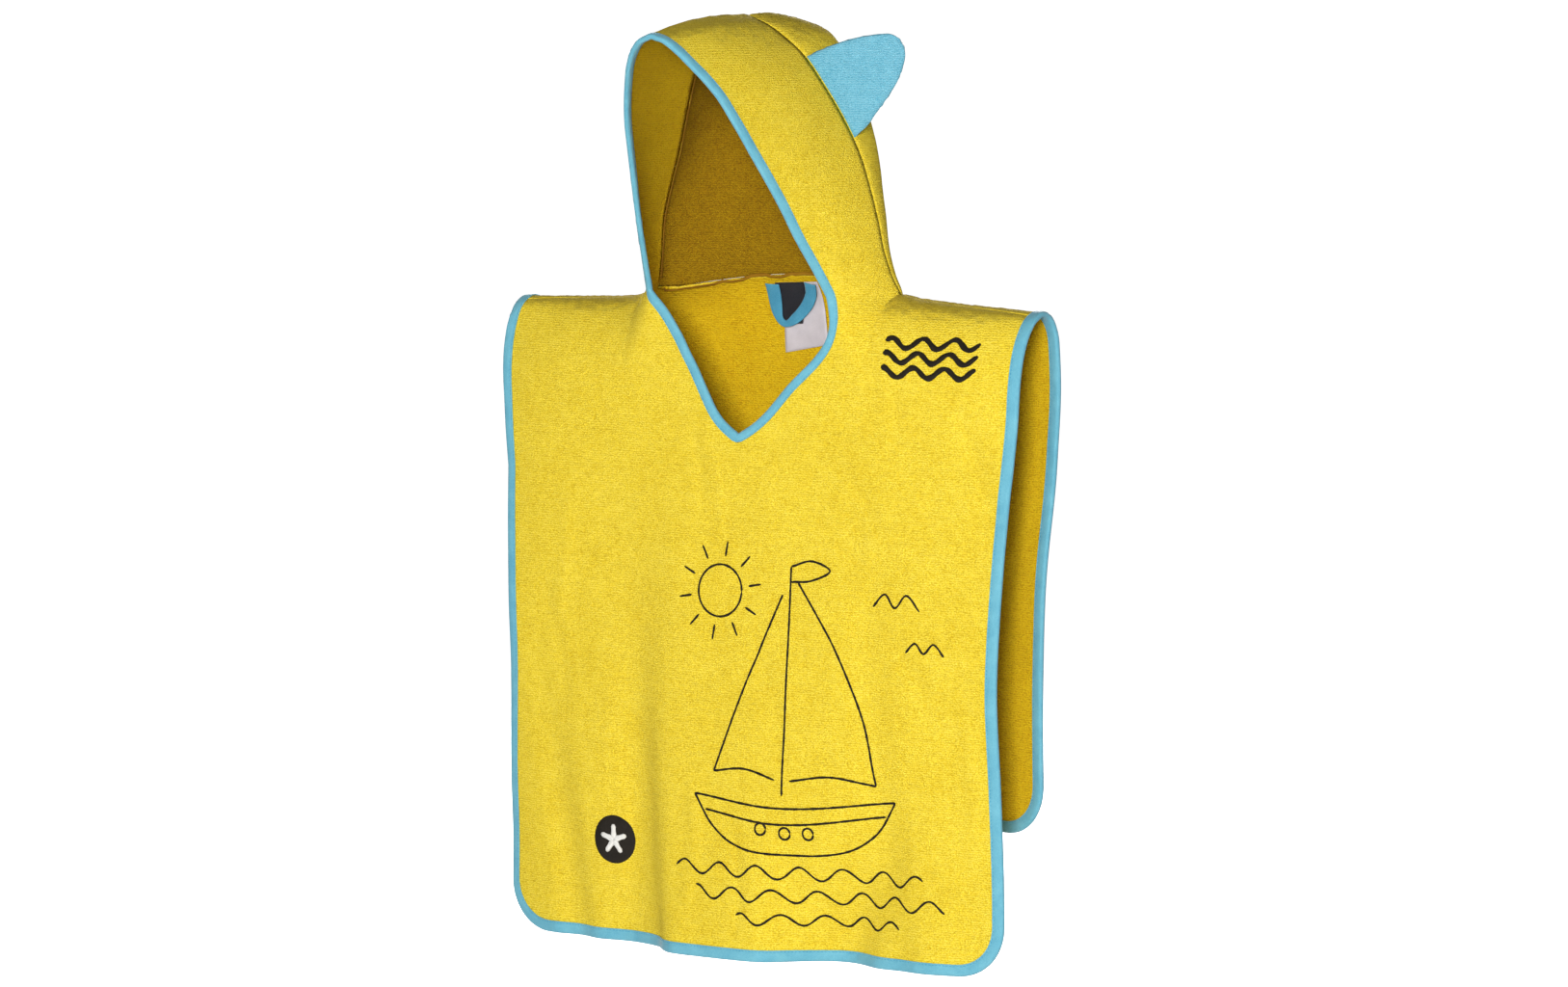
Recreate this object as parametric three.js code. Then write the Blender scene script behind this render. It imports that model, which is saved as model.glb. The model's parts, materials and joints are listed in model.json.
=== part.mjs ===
// A child's hooded bath poncho of terry towelling, hollow and open as if worn, in millimetres with +Z up.
// The origin is the middle of the neck at the shoulder ridge. +X is the wearer's left and +Y the back.
// Every cloth piece is a thin wall: a grid of points on its outer face, moved in along the normals.
import * as THREE from "three";

// Driving sizes
const CLOTH = 2.6; // thickness of the terry
const SEAM_GAP = 0.3; // between two pieces at a seam
const HALF_WIDTH = 292; // from the neck's middle to the end of a shoulder
const FRONT_HEM = -599;
const BACK_HEM = -477; // the back hangs shorter than the front
const CORNER = 45; // radius of the lower corners
const BINDING_WIDTH = 10; // of the woven edge binding, on each face
const TAPE = 0.8; // thickness of the binding and of the hanging loop
const CLEAR = 0.45; // between the cloth and what lies on it
const NECK = { x: 137, y: -3, z: 11 }; // where the shoulder seam, the hood seam and the back neck seam meet
const FRONT_ROUND = 85; // height over which the front rounds off the shoulder
const BACK_ROUND = { middle: 60, side: 30 }; // the same for the back
const BAND_BULGE = 6; // how far the hood's front band stands out between its edges
const EAR_THICK = 5; // two layers of terry
const LABEL_THICK = 0.6;

// How many cells each piece has
const FRONT_UPPER = 7;
const FRONT_LOWER = 12;
const BACK_UPPER = 7;
const BACK_LOWER = 9;
const HALF_ARCH = 14; // cells from a neck point to the crown
const BACK_CELLS = 12; // cells round the back of the hood
const BAND_CELLS = 5; // cells across the hood's band
const NECK_CELLS = 8; // cells down each side of the V neck
const CORNER_INSETS = [0, 10, 25, CORNER]; // columns and rows that follow a rounded corner
const SHOULDER_STATIONS = [215, 186, 160]; // columns between the corner and the neck point
const FRONT_SPREAD = -160; // where the columns of the front stop fanning out from the neck
const BACK_SPREAD = -120;

// The opening's edge on the wearer's left, from the neck to the crown. The right side is its mirror image.
const OPENING = [
  { x: 101, y: -65, z: 12 },
  { x: 95.5, y: -81.5, z: 39 },
  { x: 89, y: -98, z: 66 },
  { x: 83, y: -112, z: 93 },
  { x: 76, y: -127, z: 120 },
  { x: 68.5, y: -142.5, z: 147 },
  { x: 61, y: -157, z: 173 },
  { x: 50.5, y: -171, z: 200 },
  { x: 33, y: -189, z: 228 },
  { x: 16, y: -198, z: 245 },
  { x: 0, y: -200, z: 251 },
];

// The seam between the hood's band and its back, the same way.
const HOOD_SEAM = [
  { ...NECK },
  { x: 127, y: -12, z: 52 },
  { x: 122.6, y: -15, z: 79 },
  { x: 114.5, y: -15.6, z: 108 },
  { x: 103, y: -17, z: 142 },
  { x: 89, y: -25, z: 176 },
  { x: 70, y: -37, z: 213.6 },
  { x: 56, y: -41, z: 233 },
  { x: 38.6, y: -44, z: 248 },
  { x: 20, y: -46, z: 260 },
  { x: 0, y: -47, z: 268 },
];

// The middle line of the hood's back, from the neck to the crown.
const HOOD_SPINE = [
  { x: 0, y: 45, z: 26 },
  { x: 0, y: 47, z: 65 },
  { x: 0, y: 57, z: 110 },
  { x: 0, y: 65, z: 150 },
  { x: 0, y: 68, z: 195 },
  { x: 0, y: 63, z: 232 },
  { x: 0, y: 49, z: 254 },
  { x: 0, y: 21, z: 264 },
  { x: 0, y: -12, z: 268.5 },
  { x: 0, y: -47, z: 268 },
];

// The V neck: how far its two edges stand from the middle at each height.
const V_NECK = [
  { z: 12, right: -101, left: 101 },
  { z: -4, right: -85, left: 103 },
  { z: -17, right: -75, left: 102 },
  { z: -30, right: -66, left: 97 },
  { z: -44, right: -58, left: 86 },
  { z: -57, right: -50, left: 72 },
  { z: -70, right: -43, left: 57 },
  { z: -83, right: -36, left: 44 },
  { z: -97, right: -28, left: 30 },
  { z: -109, right: -17, left: 15 },
  { z: -119, right: -2, left: -2 },
];

// How far out the side edges of both panels stand on each side, at each height.
const SIDES = [
  { z: 12, left: 291, right: 280 },
  { z: -60, left: 293, right: 279 },
  { z: -130, left: 289, right: 277 },
  { z: -225, left: 283, right: 273 },
  { z: -305, left: 279, right: 269 },
  { z: -355, left: 278, right: 268 },
  { z: -435, left: 281, right: 271 },
  { z: -599, left: 282, right: 273 },
];

// Height of the shoulder ridge on each side, out from the neck point.
const RIDGE = [
  { out: 0, left: 11, right: 11 },
  { out: 12, left: 10.5, right: 6 },
  { out: 30, left: 9, right: 3 },
  { out: 70, left: 6, right: 1 },
  { out: 115, left: 3.5, right: 0 },
  { out: 155, left: 1, right: -1 },
];

// How far forward the front lies, at its middle and at its sides.
const FRONT_DEPTH = [
  { z: 12, middle: 67, side: 45 },
  { z: -85, middle: 63, side: 46 },
  { z: -130, middle: 62, side: 49 },
  { z: -225, middle: 63, side: 56 },
  { z: -305, middle: 65, side: 59 },
  { z: -435, middle: 67, side: 56 },
  { z: -515, middle: 66, side: 51 },
  { z: -599, middle: 66, side: 51 },
];

// How far back the back lies.
const BACK_DEPTH = [
  { z: 26, middle: 58, side: 22 },
  { z: -130, middle: 63, side: 27 },
  { z: -250, middle: 64, side: 20 },
  { z: -335, middle: 62, side: 20 },
  { z: -477, middle: 58, side: 16 },
];

// Folds. A crest rises from the panel and a negative one is a valley. Each runs from (x, z) at its top
// to (footX, footZ), is wide mm from its line to where it has died away, and grows to rise at its foot.
const FRONT_CRESTS = [
  { x: 176, z: -400, footX: 110, footZ: -599, wide: 56, rise: -19 },
  { x: 230, z: -430, footX: 204, footZ: -599, wide: 50, rise: 5 },
  { x: -246, z: -230, footX: -190, footZ: -599, wide: 30, rise: -6 },
  { x: -92, z: -90, footX: -128, footZ: -599, wide: 40, rise: -5 },
  { x: 118, z: -60, footX: 152, footZ: -360, wide: 30, rise: -3 },
];
const BACK_CRESTS = [
  { x: -128, z: -40, footX: -160, footZ: -477, wide: 62, rise: 12 },
  { x: -30, z: -90, footX: -62, footZ: -477, wide: 48, rise: -9 },
  { x: 70, z: -60, footX: 62, footZ: -477, wide: 66, rise: 13 },
  { x: 168, z: -80, footX: 176, footZ: -477, wide: 48, rise: -8 },
];

// The broad fold that the front throws forward: a step on the wearer's right that runs from the chest
// to the hem, and a return on the left that is gentle above and sharp at the hem.
const BROAD_FOLD = {
  top: -90,
  stepTop: -121,
  stepHem: -76,
  softTop: 26,
  softHem: 15,
  rise: 30,
  returnX: 58,
  returnSoft: 16,
  sharpFrom: -430,
};

// Small maths
const mix = (a, b, t) => a + (b - a) * t;
const clamp01 = (t) => Math.min(1, Math.max(0, t));
const smoothStep = (t) => clamp01(t) ** 2 * (3 - 2 * clamp01(t));
const vector = (p) => new THREE.Vector3(p.x, p.y, p.z);

// A smooth curve through a table's rows: the value column as a function of the key column.
function through(rows, key, value) {
  const table = [...rows].sort((a, b) => a[key] - b[key]);
  const slope = (i) => {
    const a = table[Math.max(0, i - 1)];
    const b = table[Math.min(table.length - 1, i + 1)];
    return (b[value] - a[value]) / (b[key] - a[key]);
  };
  return (at) => {
    const last = table.length - 1;
    if (at <= table[0][key]) return table[0][value];
    if (at >= table[last][key]) return table[last][value];
    const i = table.findIndex((row) => row[key] > at) - 1;
    const a = table[i];
    const b = table[i + 1];
    const h = b[key] - a[key];
    const t = (at - a[key]) / h;
    return (
      a[value] * (1 + 2 * t) * (1 - t) ** 2 +
      slope(i) * h * t * (1 - t) ** 2 +
      b[value] * t * t * (3 - 2 * t) +
      slope(i + 1) * h * t * t * (t - 1)
    );
  };
}

// A smooth space curve through points, from 0 at the first to 1 at the last by length.
function spaceCurve(points) {
  const rows = points.map((p) => ({ ...p, way: 0 }));
  rows.forEach((row, i) => {
    if (i) row.way = rows[i - 1].way + vector(row).distanceTo(vector(rows[i - 1]));
  });
  const length = rows[rows.length - 1].way;
  const axes = ["x", "y", "z"].map((axis) => through(rows, "way", axis));
  return (t) => new THREE.Vector3(...axes.map((axis) => axis(t * length)));
}

const opening = spaceCurve(OPENING);
const hoodSeam = spaceCurve(HOOD_SEAM);
const hoodSpine = spaceCurve(HOOD_SPINE);
const leftReach = through(SIDES, "z", "left");
const rightReach = through(SIDES, "z", "right");
const leftRidge = through(RIDGE, "out", "left");
const rightRidge = through(RIDGE, "out", "right");
const frontMiddle = through(FRONT_DEPTH, "z", "middle");
const frontSide = through(FRONT_DEPTH, "z", "side");
const backMiddle = through(BACK_DEPTH, "z", "middle");
const backSide = through(BACK_DEPTH, "z", "side");

// The hood's band: side is 1 on the wearer's left and -1 on the right, up runs from the neck to the
// crown, and across from the opening's edge to the seam.
function bandPoint(side, up, across) {
  const edge = opening(up);
  const seam = hoodSeam(up);
  const step = 0.01;
  const low = Math.max(0, up - step);
  const high = Math.min(1, up + step);
  const rise = opening(high).add(hoodSeam(high)).sub(opening(low)).sub(hoodSeam(low));
  if (up === 1) rise.set(-1, 0, 0);
  const out = rise.cross(seam.clone().sub(edge)).normalize().negate();
  const p = edge.lerp(seam, across).addScaledVector(out, BAND_BULGE * 4 * across * (1 - across));
  p.x *= side;
  return p;
}

// Where the band's columns lie: its first cell is as wide as the binding.
function bandStation(up, column) {
  const first = BINDING_WIDTH / opening(up).distanceTo(hoodSeam(up));
  return column === 0 ? 0 : mix(first, 1, (column - 1) / (BAND_CELLS - 1));
}

// The hood's back: up runs from the neck to the crown, and turn from -1 to 1 round from right to left.
function hoodBackPoint(up, turn) {
  const seam = hoodSeam(up);
  const spine = hoodSpine(up);
  const angle = (turn * Math.PI) / 2;
  const full = mix(1.06, 0.98, smoothStep(up * 2));
  const liftPower = mix(2.4, full, smoothStep(up * 4));
  const toBack = Math.cos(angle) ** full;
  return new THREE.Vector3(
    seam.x * Math.sign(turn) * Math.abs(Math.sin(angle)) ** full,
    mix(seam.y, spine.y, toBack),
    mix(seam.z, spine.z, Math.abs(Math.cos(angle)) ** liftPower),
  );
}

const sideReach = (x, z) => (x > 0 ? leftReach(z) : rightReach(z));

// The ridge follows the side's own reach, so that its ends fall where the table says.
const ridge = (x) => {
  const out = Math.max(0, Math.abs(x) - NECK.x);
  return x > 0 ? leftRidge(out) : rightRidge(out);
};

// The shoulder seam lies a little in front of the ridge.
const seamForward = (x) => mix(-NECK.y, 12, (Math.abs(x) - NECK.x) / (HALF_WIDTH - NECK.x));

// The sum of a panel's crests at a place.
function crestRise(crests, x, z) {
  return crests.reduce((sum, crest) => {
    const down = (crest.z - z) / (crest.z - crest.footZ);
    const away = (x - mix(crest.x, crest.footX, down)) / crest.wide;
    if (down <= 0 || Math.abs(away) >= 1) return sum;
    return sum + crest.rise * smoothStep(down) * Math.cos((away * Math.PI) / 2) ** 2;
  }, 0);
}

function broadFoldRise(x, z) {
  const fold = BROAD_FOLD;
  const down = clamp01((fold.top - z) / (fold.top - FRONT_HEM));
  const soft = mix(fold.softTop, fold.softHem, down);
  const step = 0.5 + 0.5 * Math.tanh((x - mix(fold.stepTop, fold.stepHem, down)) / soft);
  const sharp = smoothStep((fold.sharpFrom - z) / (fold.sharpFrom - FRONT_HEM - 20));
  const gentleReturn = 1 - smoothStep((x - 20) / (sideReach(1, z) - 20));
  const sharpReturn = 0.5 - 0.5 * Math.tanh((x - fold.returnX) / fold.returnSoft);
  return fold.rise * down ** 1.3 * step * mix(gentleReturn, sharpReturn, sharp);
}

function frontDepth(x, z) {
  const across = Math.min(1, Math.abs(x) / sideReach(x, z));
  return (
    mix(frontMiddle(z), frontSide(z), across ** 2.4) +
    broadFoldRise(x, z) +
    crestRise(FRONT_CRESTS, x, z)
  );
}

function backDepth(x, z) {
  const across = Math.min(1, Math.abs(x) / sideReach(x, z));
  return mix(backMiddle(z), backSide(z), across ** 2) + crestRise(BACK_CRESTS, x, z);
}

// The neck line between the front and the hood's band, as a table of how far forward it lies.
const NECK_LINE = Array.from({ length: 21 }, (_, i) => {
  const p = bandPoint(1, 0, i / 20);
  return { x: p.x, forward: -p.y, z: p.z };
});
const neckForward = through(NECK_LINE, "x", "forward");
const neckHeight = through(NECK_LINE, "x", "z");

// The back neck seam, the same way.
const BACK_NECK = Array.from({ length: 21 }, (_, i) => {
  const p = hoodBackPoint(0, i / 20);
  return { x: p.x, back: p.y, z: p.z };
});
const neckBack = through(BACK_NECK, "x", "back");
const backNeckHeight = through(BACK_NECK, "x", "z");

// How far a panel has come forward or back at a height: a quarter ellipse off the ridge, and then the
// panel's own depth. Inside the neck the ellipse starts part of the way round, at the neck's seam.
function rounded(depth, round, start, startHeight, ridgeHeight, z) {
  const cosine = start === null ? 1 : Math.sqrt(1 - Math.min(1, Math.max(0, start) / depth) ** 2);
  const top = start === null ? ridgeHeight : startHeight;
  const left = clamp01(cosine - (top - z) / round);
  return depth * Math.sqrt(1 - left * left);
}

function frontPoint(x, z) {
  const inNeck = Math.abs(x) < NECK.x;
  const start = inNeck ? neckForward(Math.abs(x)) : null;
  const depth = frontDepth(x, z);
  const y = -rounded(depth, FRONT_ROUND, start, neckHeight(Math.abs(x)), ridge(x), z);
  return new THREE.Vector3(x, y, z);
}

function backPoint(x, z) {
  const inNeck = Math.abs(x) < NECK.x;
  const start = inNeck ? neckBack(Math.abs(x)) : null;
  const across = Math.min(1, Math.abs(x) / HALF_WIDTH);
  const round = mix(BACK_ROUND.middle, BACK_ROUND.side, across);
  const y = rounded(backDepth(x, z), round, start, backNeckHeight(Math.abs(x)), ridge(x), z);
  return new THREE.Vector3(x, y, z);
}

// A point on the shoulder in front of the ridge, where the back panel laps over it.
function shoulderPoint(x, forward) {
  const depth = frontDepth(x, ridge(x));
  const z = ridge(x) - FRONT_ROUND * (1 - Math.sqrt(1 - (forward / depth) ** 2));
  return new THREE.Vector3(x, -forward, z);
}

// A column's place across a panel: near the side it keeps its distance from the edge.
function columnX(x, z) {
  const inset = HALF_WIDTH - Math.abs(x);
  const reach = sideReach(x, z);
  if (inset < CORNER) return Math.sign(x) * (reach - inset);
  return (x * (reach - CORNER)) / (HALF_WIDTH - CORNER);
}

// Turns the cells of a lower corner so that the hem and the side run round it on arcs.
function cornered(x, z, hem) {
  const reach = sideReach(x, z);
  const a = CORNER - (reach - Math.abs(x));
  const b = CORNER - (z - hem);
  if (a <= 0 || b <= 0) return [x, z];
  const angle = a >= b ? ((Math.PI / 4) * b) / a : Math.PI / 2 - ((Math.PI / 4) * a) / b;
  const radius = Math.max(a, b);
  const newX = reach - CORNER + radius * Math.cos(angle);
  return [Math.sign(x) * newX, hem + CORNER - radius * Math.sin(angle)];
}

// The heights of the rows below where the columns stop fanning out.
function lowerRows(from, hem, cells) {
  const rows = Array.from({ length: cells }, (_, i) => mix(from, hem + CORNER, (i + 1) / cells));
  return [...rows, ...CORNER_INSETS.slice(0, -1).reverse().map((inset) => hem + inset)];
}

// A cloth surface from rows of points. It knows its own vertices, faces, normals and open edges, and
// which points a face's side links. The cells' diagonals are mirrored about the middle row and column.
function surface(rows) {
  const points = [];
  const index = new Map();
  const keyOf = (p) => [p.x, p.y, p.z].map((v) => Math.round(v * 1000)).join();
  const ids = rows.map((row) =>
    row.map((p) => {
      const key = keyOf(p);
      if (!index.has(key)) {
        index.set(key, points.length);
        points.push(p.clone());
      }
      return index.get(key);
    }),
  );
  const faces = [];
  for (let i = 0; i + 1 < ids.length; i++) {
    for (let j = 0; j + 1 < ids[i].length; j++) {
      const [a, b, c, d] = [ids[i][j], ids[i + 1][j], ids[i + 1][j + 1], ids[i][j + 1]];
      const high = i < (ids.length - 1) / 2;
      const early = j < (ids[i].length - 1) / 2;
      if (high === early) faces.push([a, b, c], [a, c, d]);
      else faces.push([a, b, d], [b, c, d]);
    }
  }
  const sound = faces.filter(([a, b, c]) => a !== b && b !== c && c !== a);
  const normals = points.map(() => new THREE.Vector3());
  const normalOf = ([a, b, c]) =>
    points[b].clone().sub(points[a]).cross(points[c].clone().sub(points[a]));
  sound.forEach((face) => face.forEach((v) => normals[v].add(normalOf(face).normalize())));
  normals.forEach((n) => n.normalize());
  const open = new Map();
  sound.forEach(([a, b, c]) => {
    [[a, b], [b, c], [c, a]].forEach(([from, to]) => {
      if (!open.delete(`${to},${from}`)) open.set(`${from},${to}`, [from, to]);
    });
  });
  const edges = [...open.values()];
  const links = new Set();
  sound.forEach(([a, b, c]) => {
    [[a, b], [b, c], [c, a]].forEach(([from, to]) => links.add(`${from},${to}`).add(`${to},${from}`));
  });
  const at = (i, j) => {
    const id = ids.at(i).at(j);
    return { point: points[id], normal: normals[id], id, links };
  };
  return { points, normals, faces: sound, edges, at, rows: ids.length, columns: ids[0].length };
}

// Gives pieces that meet at a seam the same normals there, and parts them by the seam's gap.
function joinSeams(surfaces) {
  const meeting = new Map();
  surfaces.forEach((s) =>
    s.points.forEach((p, v) => {
      const key = [p.x, p.y, p.z].map((value) => Math.round(value * 100)).join();
      meeting.set(key, [...(meeting.get(key) || []), { s, v }]);
    }),
  );
  const moves = [];
  meeting.forEach((group) => {
    if (group.length < 2) return;
    const shared = new THREE.Vector3();
    group.forEach(({ s, v }) => shared.add(s.normals[v]));
    shared.normalize();
    group.forEach(({ s, v }) => {
      s.normals[v].copy(shared);
      const inward = new THREE.Vector3();
      s.edges
        .filter((edge) => edge.includes(v))
        .forEach(([a, b]) => {
          const along = s.points[b].clone().sub(s.points[a]).normalize();
          inward.add(shared.clone().cross(along).normalize());
        });
      moves.push([s.points[v], inward.multiplyScalar(SEAM_GAP / 2)]);
    });
  });
  moves.forEach(([point, move]) => point.add(move));
}

// The mesh of a closed body from points and triangles.
function mesh(name, points, faces, colour, roughness) {
  const geometry = new THREE.BufferGeometry().setFromPoints(points);
  geometry.setIndex(faces.flat());
  geometry.computeVertexNormals();
  const material = new THREE.MeshStandardMaterial({ color: colour, roughness, metalness: 0 });
  const made = new THREE.Mesh(geometry, material);
  made.name = name;
  return made;
}

// The wall of a cloth surface: its outer face, the same moved in, and a rim along its open edges. The
// rims of two pieces at a seam are split the same way, so that they run side by side.
function wall(name, cloth, thick, colour, outward = 0) {
  const count = cloth.points.length;
  const shifted = (amount) =>
    cloth.points.map((p, v) => p.clone().addScaledVector(cloth.normals[v], amount));
  const faces = [...cloth.faces, ...cloth.faces.map(([a, b, c]) => [a + count, c + count, b + count])];
  const order = (v) => {
    const p = cloth.points[v];
    return p.y + 0.4 * p.z + 0.2 * Math.abs(p.x);
  };
  cloth.edges.forEach(([a, b]) => {
    if (order(a) < order(b)) faces.push([b, a, a + count], [b, a + count, b + count]);
    else faces.push([b, a, b + count], [a, a + count, b + count]);
  });
  return mesh(name, [...shifted(outward), ...shifted(outward - thick)], faces, colour, 0.95);
}

// A binding folded round an edge of the cloth. A station has the edge's point, the point one binding's
// width inside it, and their normals; the loop of stations closes on itself.
function binding(name, stations, colour) {
  const near = CLEAR;
  const far = CLEAR + TAPE;
  const neighbour = (s, step) => {
    let n = s;
    do n = (n + step + stations.length) % stations.length;
    while (stations[n].edge.point.distanceTo(stations[s].edge.point) < 1);
    return stations[n].edge.point;
  };
  const points = stations.flatMap(({ edge, inside }, s) => {
    const along = neighbour(s, 1).clone().sub(neighbour(s, -1));
    const out = along.cross(edge.normal).normalize();
    if (out.dot(edge.point.clone().sub(inside.point)) < 0) out.negate();
    const place = (from, lift, push) =>
      from.point.clone().addScaledVector(from.normal, lift).addScaledVector(out, push);
    return [
      place(inside, far, 0),
      place(edge, far, far),
      place(edge, -CLOTH - far, far),
      place(inside, -CLOTH - far, 0),
      place(inside, -CLOTH - near, 0),
      place(edge, -CLOTH - near, near),
      place(edge, near, near),
      place(inside, near, 0),
    ];
  });
  const ring = 8;
  const fromInside = [0, 4]; // the sides of the section that run from the inside point to the edge
  const toInside = [2, 6];
  const faces = [];
  stations.forEach(({ edge }, s) => {
    const next = (s + 1) % stations.length;
    const across = stations[next].inside;
    const likeCloth = edge.links === across.links && edge.links.has(`${edge.id},${across.id}`);
    for (let k = 0; k < ring; k++) {
      const a = s * ring + k;
      const b = s * ring + ((k + 1) % ring);
      const c = next * ring + k;
      const d = next * ring + ((k + 1) % ring);
      if (likeCloth ? fromInside.includes(k) : toInside.includes(k)) faces.push([a, b, c], [b, d, c]);
      else faces.push([a, b, d], [a, d, c]);
    }
  });
  return mesh(name, points, faces, colour, 0.7);
}

// The colours, from the photograph
const YELLOW = 0xf2d83c;
const AQUA = 0x74c6de;
const EAR_BLUE = 0x7ccbe0;
const BLACK = 0x15151a;
const PALE_GREY = 0xc9c6c4;

// The V neck's edge on one side, from the neck line to its point, as places on the front.
function vNeckEdge(side) {
  const column = side > 0 ? "left" : "right";
  return spaceCurve(
    V_NECK.map((row) => {
      const p = frontPoint(row[column], row.z);
      return { x: p.x, y: p.y, z: p.z };
    }),
  );
}

// The point one binding's width inside the V neck's edge, measured on the cloth.
function insideNeckEdge(curve, side, t) {
  const step = 0.02;
  const p = curve(t);
  const along = curve(Math.min(1, t + step)).sub(curve(Math.max(0, t - step))).normalize();
  const tangentX = frontPoint(p.x + 1, p.z).sub(frontPoint(p.x - 1, p.z));
  const tangentZ = frontPoint(p.x, p.z + 1).sub(frontPoint(p.x, p.z - 1));
  const normal = tangentX.cross(tangentZ).normalize();
  const inward = normal.cross(along).multiplyScalar(side).normalize();
  return [p.x + inward.x * BINDING_WIDTH, p.z + inward.z * BINDING_WIDTH];
}

// The front: columns from the shoulder seams, the neck lines and the V neck's edges down to the hem.
function frontRows() {
  const shoulder = [...CORNER_INSETS.map((inset) => HALF_WIDTH - inset), ...SHOULDER_STATIONS, NECK.x];
  const columns = [];
  const halfOf = (side) => {
    const list = shoulder.map((x, i) => {
      const atSide = side * x;
      const top = i === shoulder.length - 1 ? bandPoint(side, 0, 1) : shoulderPoint(atSide, seamForward(x));
      return { x: atSide, top, bend: 1 };
    });
    const curve = vNeckEdge(side);
    const corner = bandPoint(side, 0, 0);
    const inCorner = insideNeckEdge(curve, side, 0.5 / NECK_CELLS);
    const fan = mix(corner.x, inCorner[0], 0.6);
    for (let k = BAND_CELLS - 1; k > 0; k--) {
      const across = bandStation(0, k);
      const top = bandPoint(side, 0, across);
      const inside = [top.x + (inCorner[0] - corner.x) * (1 - across), top.z - BINDING_WIDTH];
      list.push({ x: mix(fan, side * NECK.x, across), top, inside, bend: 0.6 });
    }
    for (let k = 0; k < NECK_CELLS; k++) {
      const t = k / NECK_CELLS;
      const inside = k === 0 ? inCorner : insideNeckEdge(curve, side, t);
      list.push({ x: mix(fan, -2, t), top: k === 0 ? corner : curve(t), inside, bend: 0 });
    }
    return list;
  };
  const point = vNeckEdge(1)(1);
  const middle = { x: point.x, top: point, inside: [point.x, point.z - BINDING_WIDTH * 1.25], bend: 0 };
  columns.push(...halfOf(-1), middle, ...halfOf(1).reverse());
  const rows = [columns.map((column) => column.top)];
  for (let i = 1; i <= FRONT_UPPER; i++) {
    rows.push(
      columns.map(({ x, top, inside, bend }) => {
        const [fromX, fromZ] = inside || [top.x, top.z];
        const first = inside ? 1 : 0;
        const t = (i - first) / (FRONT_UPPER - first);
        const fall = mix(t, 1 - Math.cos((t * Math.PI) / 2), bend);
        const z = mix(fromZ, FRONT_SPREAD, fall);
        return frontPoint(mix(fromX, columnX(x, z), inside ? smoothStep(t) : fall), z);
      }),
    );
  }
  lowerRows(FRONT_SPREAD, FRONT_HEM, FRONT_LOWER).forEach((z) => {
    rows.push(columns.map(({ x }) => frontPoint(...cornered(columnX(x, z), z, FRONT_HEM))));
  });
  return rows;
}

// The back: columns from the shoulder seams, over the ridge, and from the neck seam, down to its hem.
function backRows() {
  const shoulder = [...CORNER_INSETS.map((inset) => HALF_WIDTH - inset), ...SHOULDER_STATIONS, NECK.x];
  const overRidge = 2;
  const columnOf = (x, top) => {
    const lapped = Math.abs(x) >= NECK.x;
    const points = [top];
    for (let i = 1; i <= BACK_UPPER; i++) {
      if (lapped && i <= overRidge) {
        points.push(shoulderPoint(x, -top.y * (1 - i / overRidge)));
        continue;
      }
      const first = lapped ? overRidge : 0;
      const t = (i - first) / (BACK_UPPER - first);
      const start = lapped ? ridge(x) : top.z;
      const z = mix(start, BACK_SPREAD, 1 - Math.cos((t * Math.PI) / 2));
      points.push(backPoint(mix(x, columnX(x, z), t), z));
    }
    lowerRows(BACK_SPREAD, BACK_HEM, BACK_LOWER).forEach((z) => {
      points.push(backPoint(...cornered(columnX(x, z), z, BACK_HEM)));
    });
    return points;
  };
  const half = (side) =>
    shoulder.map((x, i) => {
      const atSide = side * x;
      const last = i === shoulder.length - 1;
      return columnOf(atSide, last ? bandPoint(side, 0, 1) : shoulderPoint(atSide, seamForward(x)));
    });
  const neck = [];
  for (let k = 1; k < BACK_CELLS; k++) {
    const top = hoodBackPoint(0, mix(-1, 1, k / BACK_CELLS));
    neck.push(columnOf(top.x, top));
  }
  const columns = [...half(1), ...neck.reverse(), ...half(-1).reverse()];
  return columns[0].map((_, i) => columns.map((column) => column[i]));
}

// The hood's band: rows along its arch from the right neck point over the crown to the left.
function bandRows() {
  const rows = [];
  for (let k = 0; k <= 2 * HALF_ARCH; k++) {
    const side = k < HALF_ARCH ? -1 : 1;
    const up = 1 - Math.abs(k - HALF_ARCH) / HALF_ARCH;
    const row = [];
    for (let j = 0; j <= BAND_CELLS; j++) row.push(bandPoint(side, up, bandStation(up, j)));
    rows.push(row);
  }
  return rows;
}

// The hood's back: rows from the crown down, each from the left seam round the back to the right.
function hoodBackRows() {
  const rows = [];
  for (let k = 0; k <= HALF_ARCH; k++) {
    const up = 1 - k / HALF_ARCH;
    const row = [];
    for (let j = 0; j <= BACK_CELLS; j++) row.push(hoodBackPoint(up, mix(1, -1, j / BACK_CELLS)));
    rows.push(row);
  }
  return rows;
}

const front = surface(frontRows());
const back = surface(backRows());
const band = surface(bandRows());
const hoodBack = surface(hoodBackRows());
joinSeams([front, back, band, hoodBack]);

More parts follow.
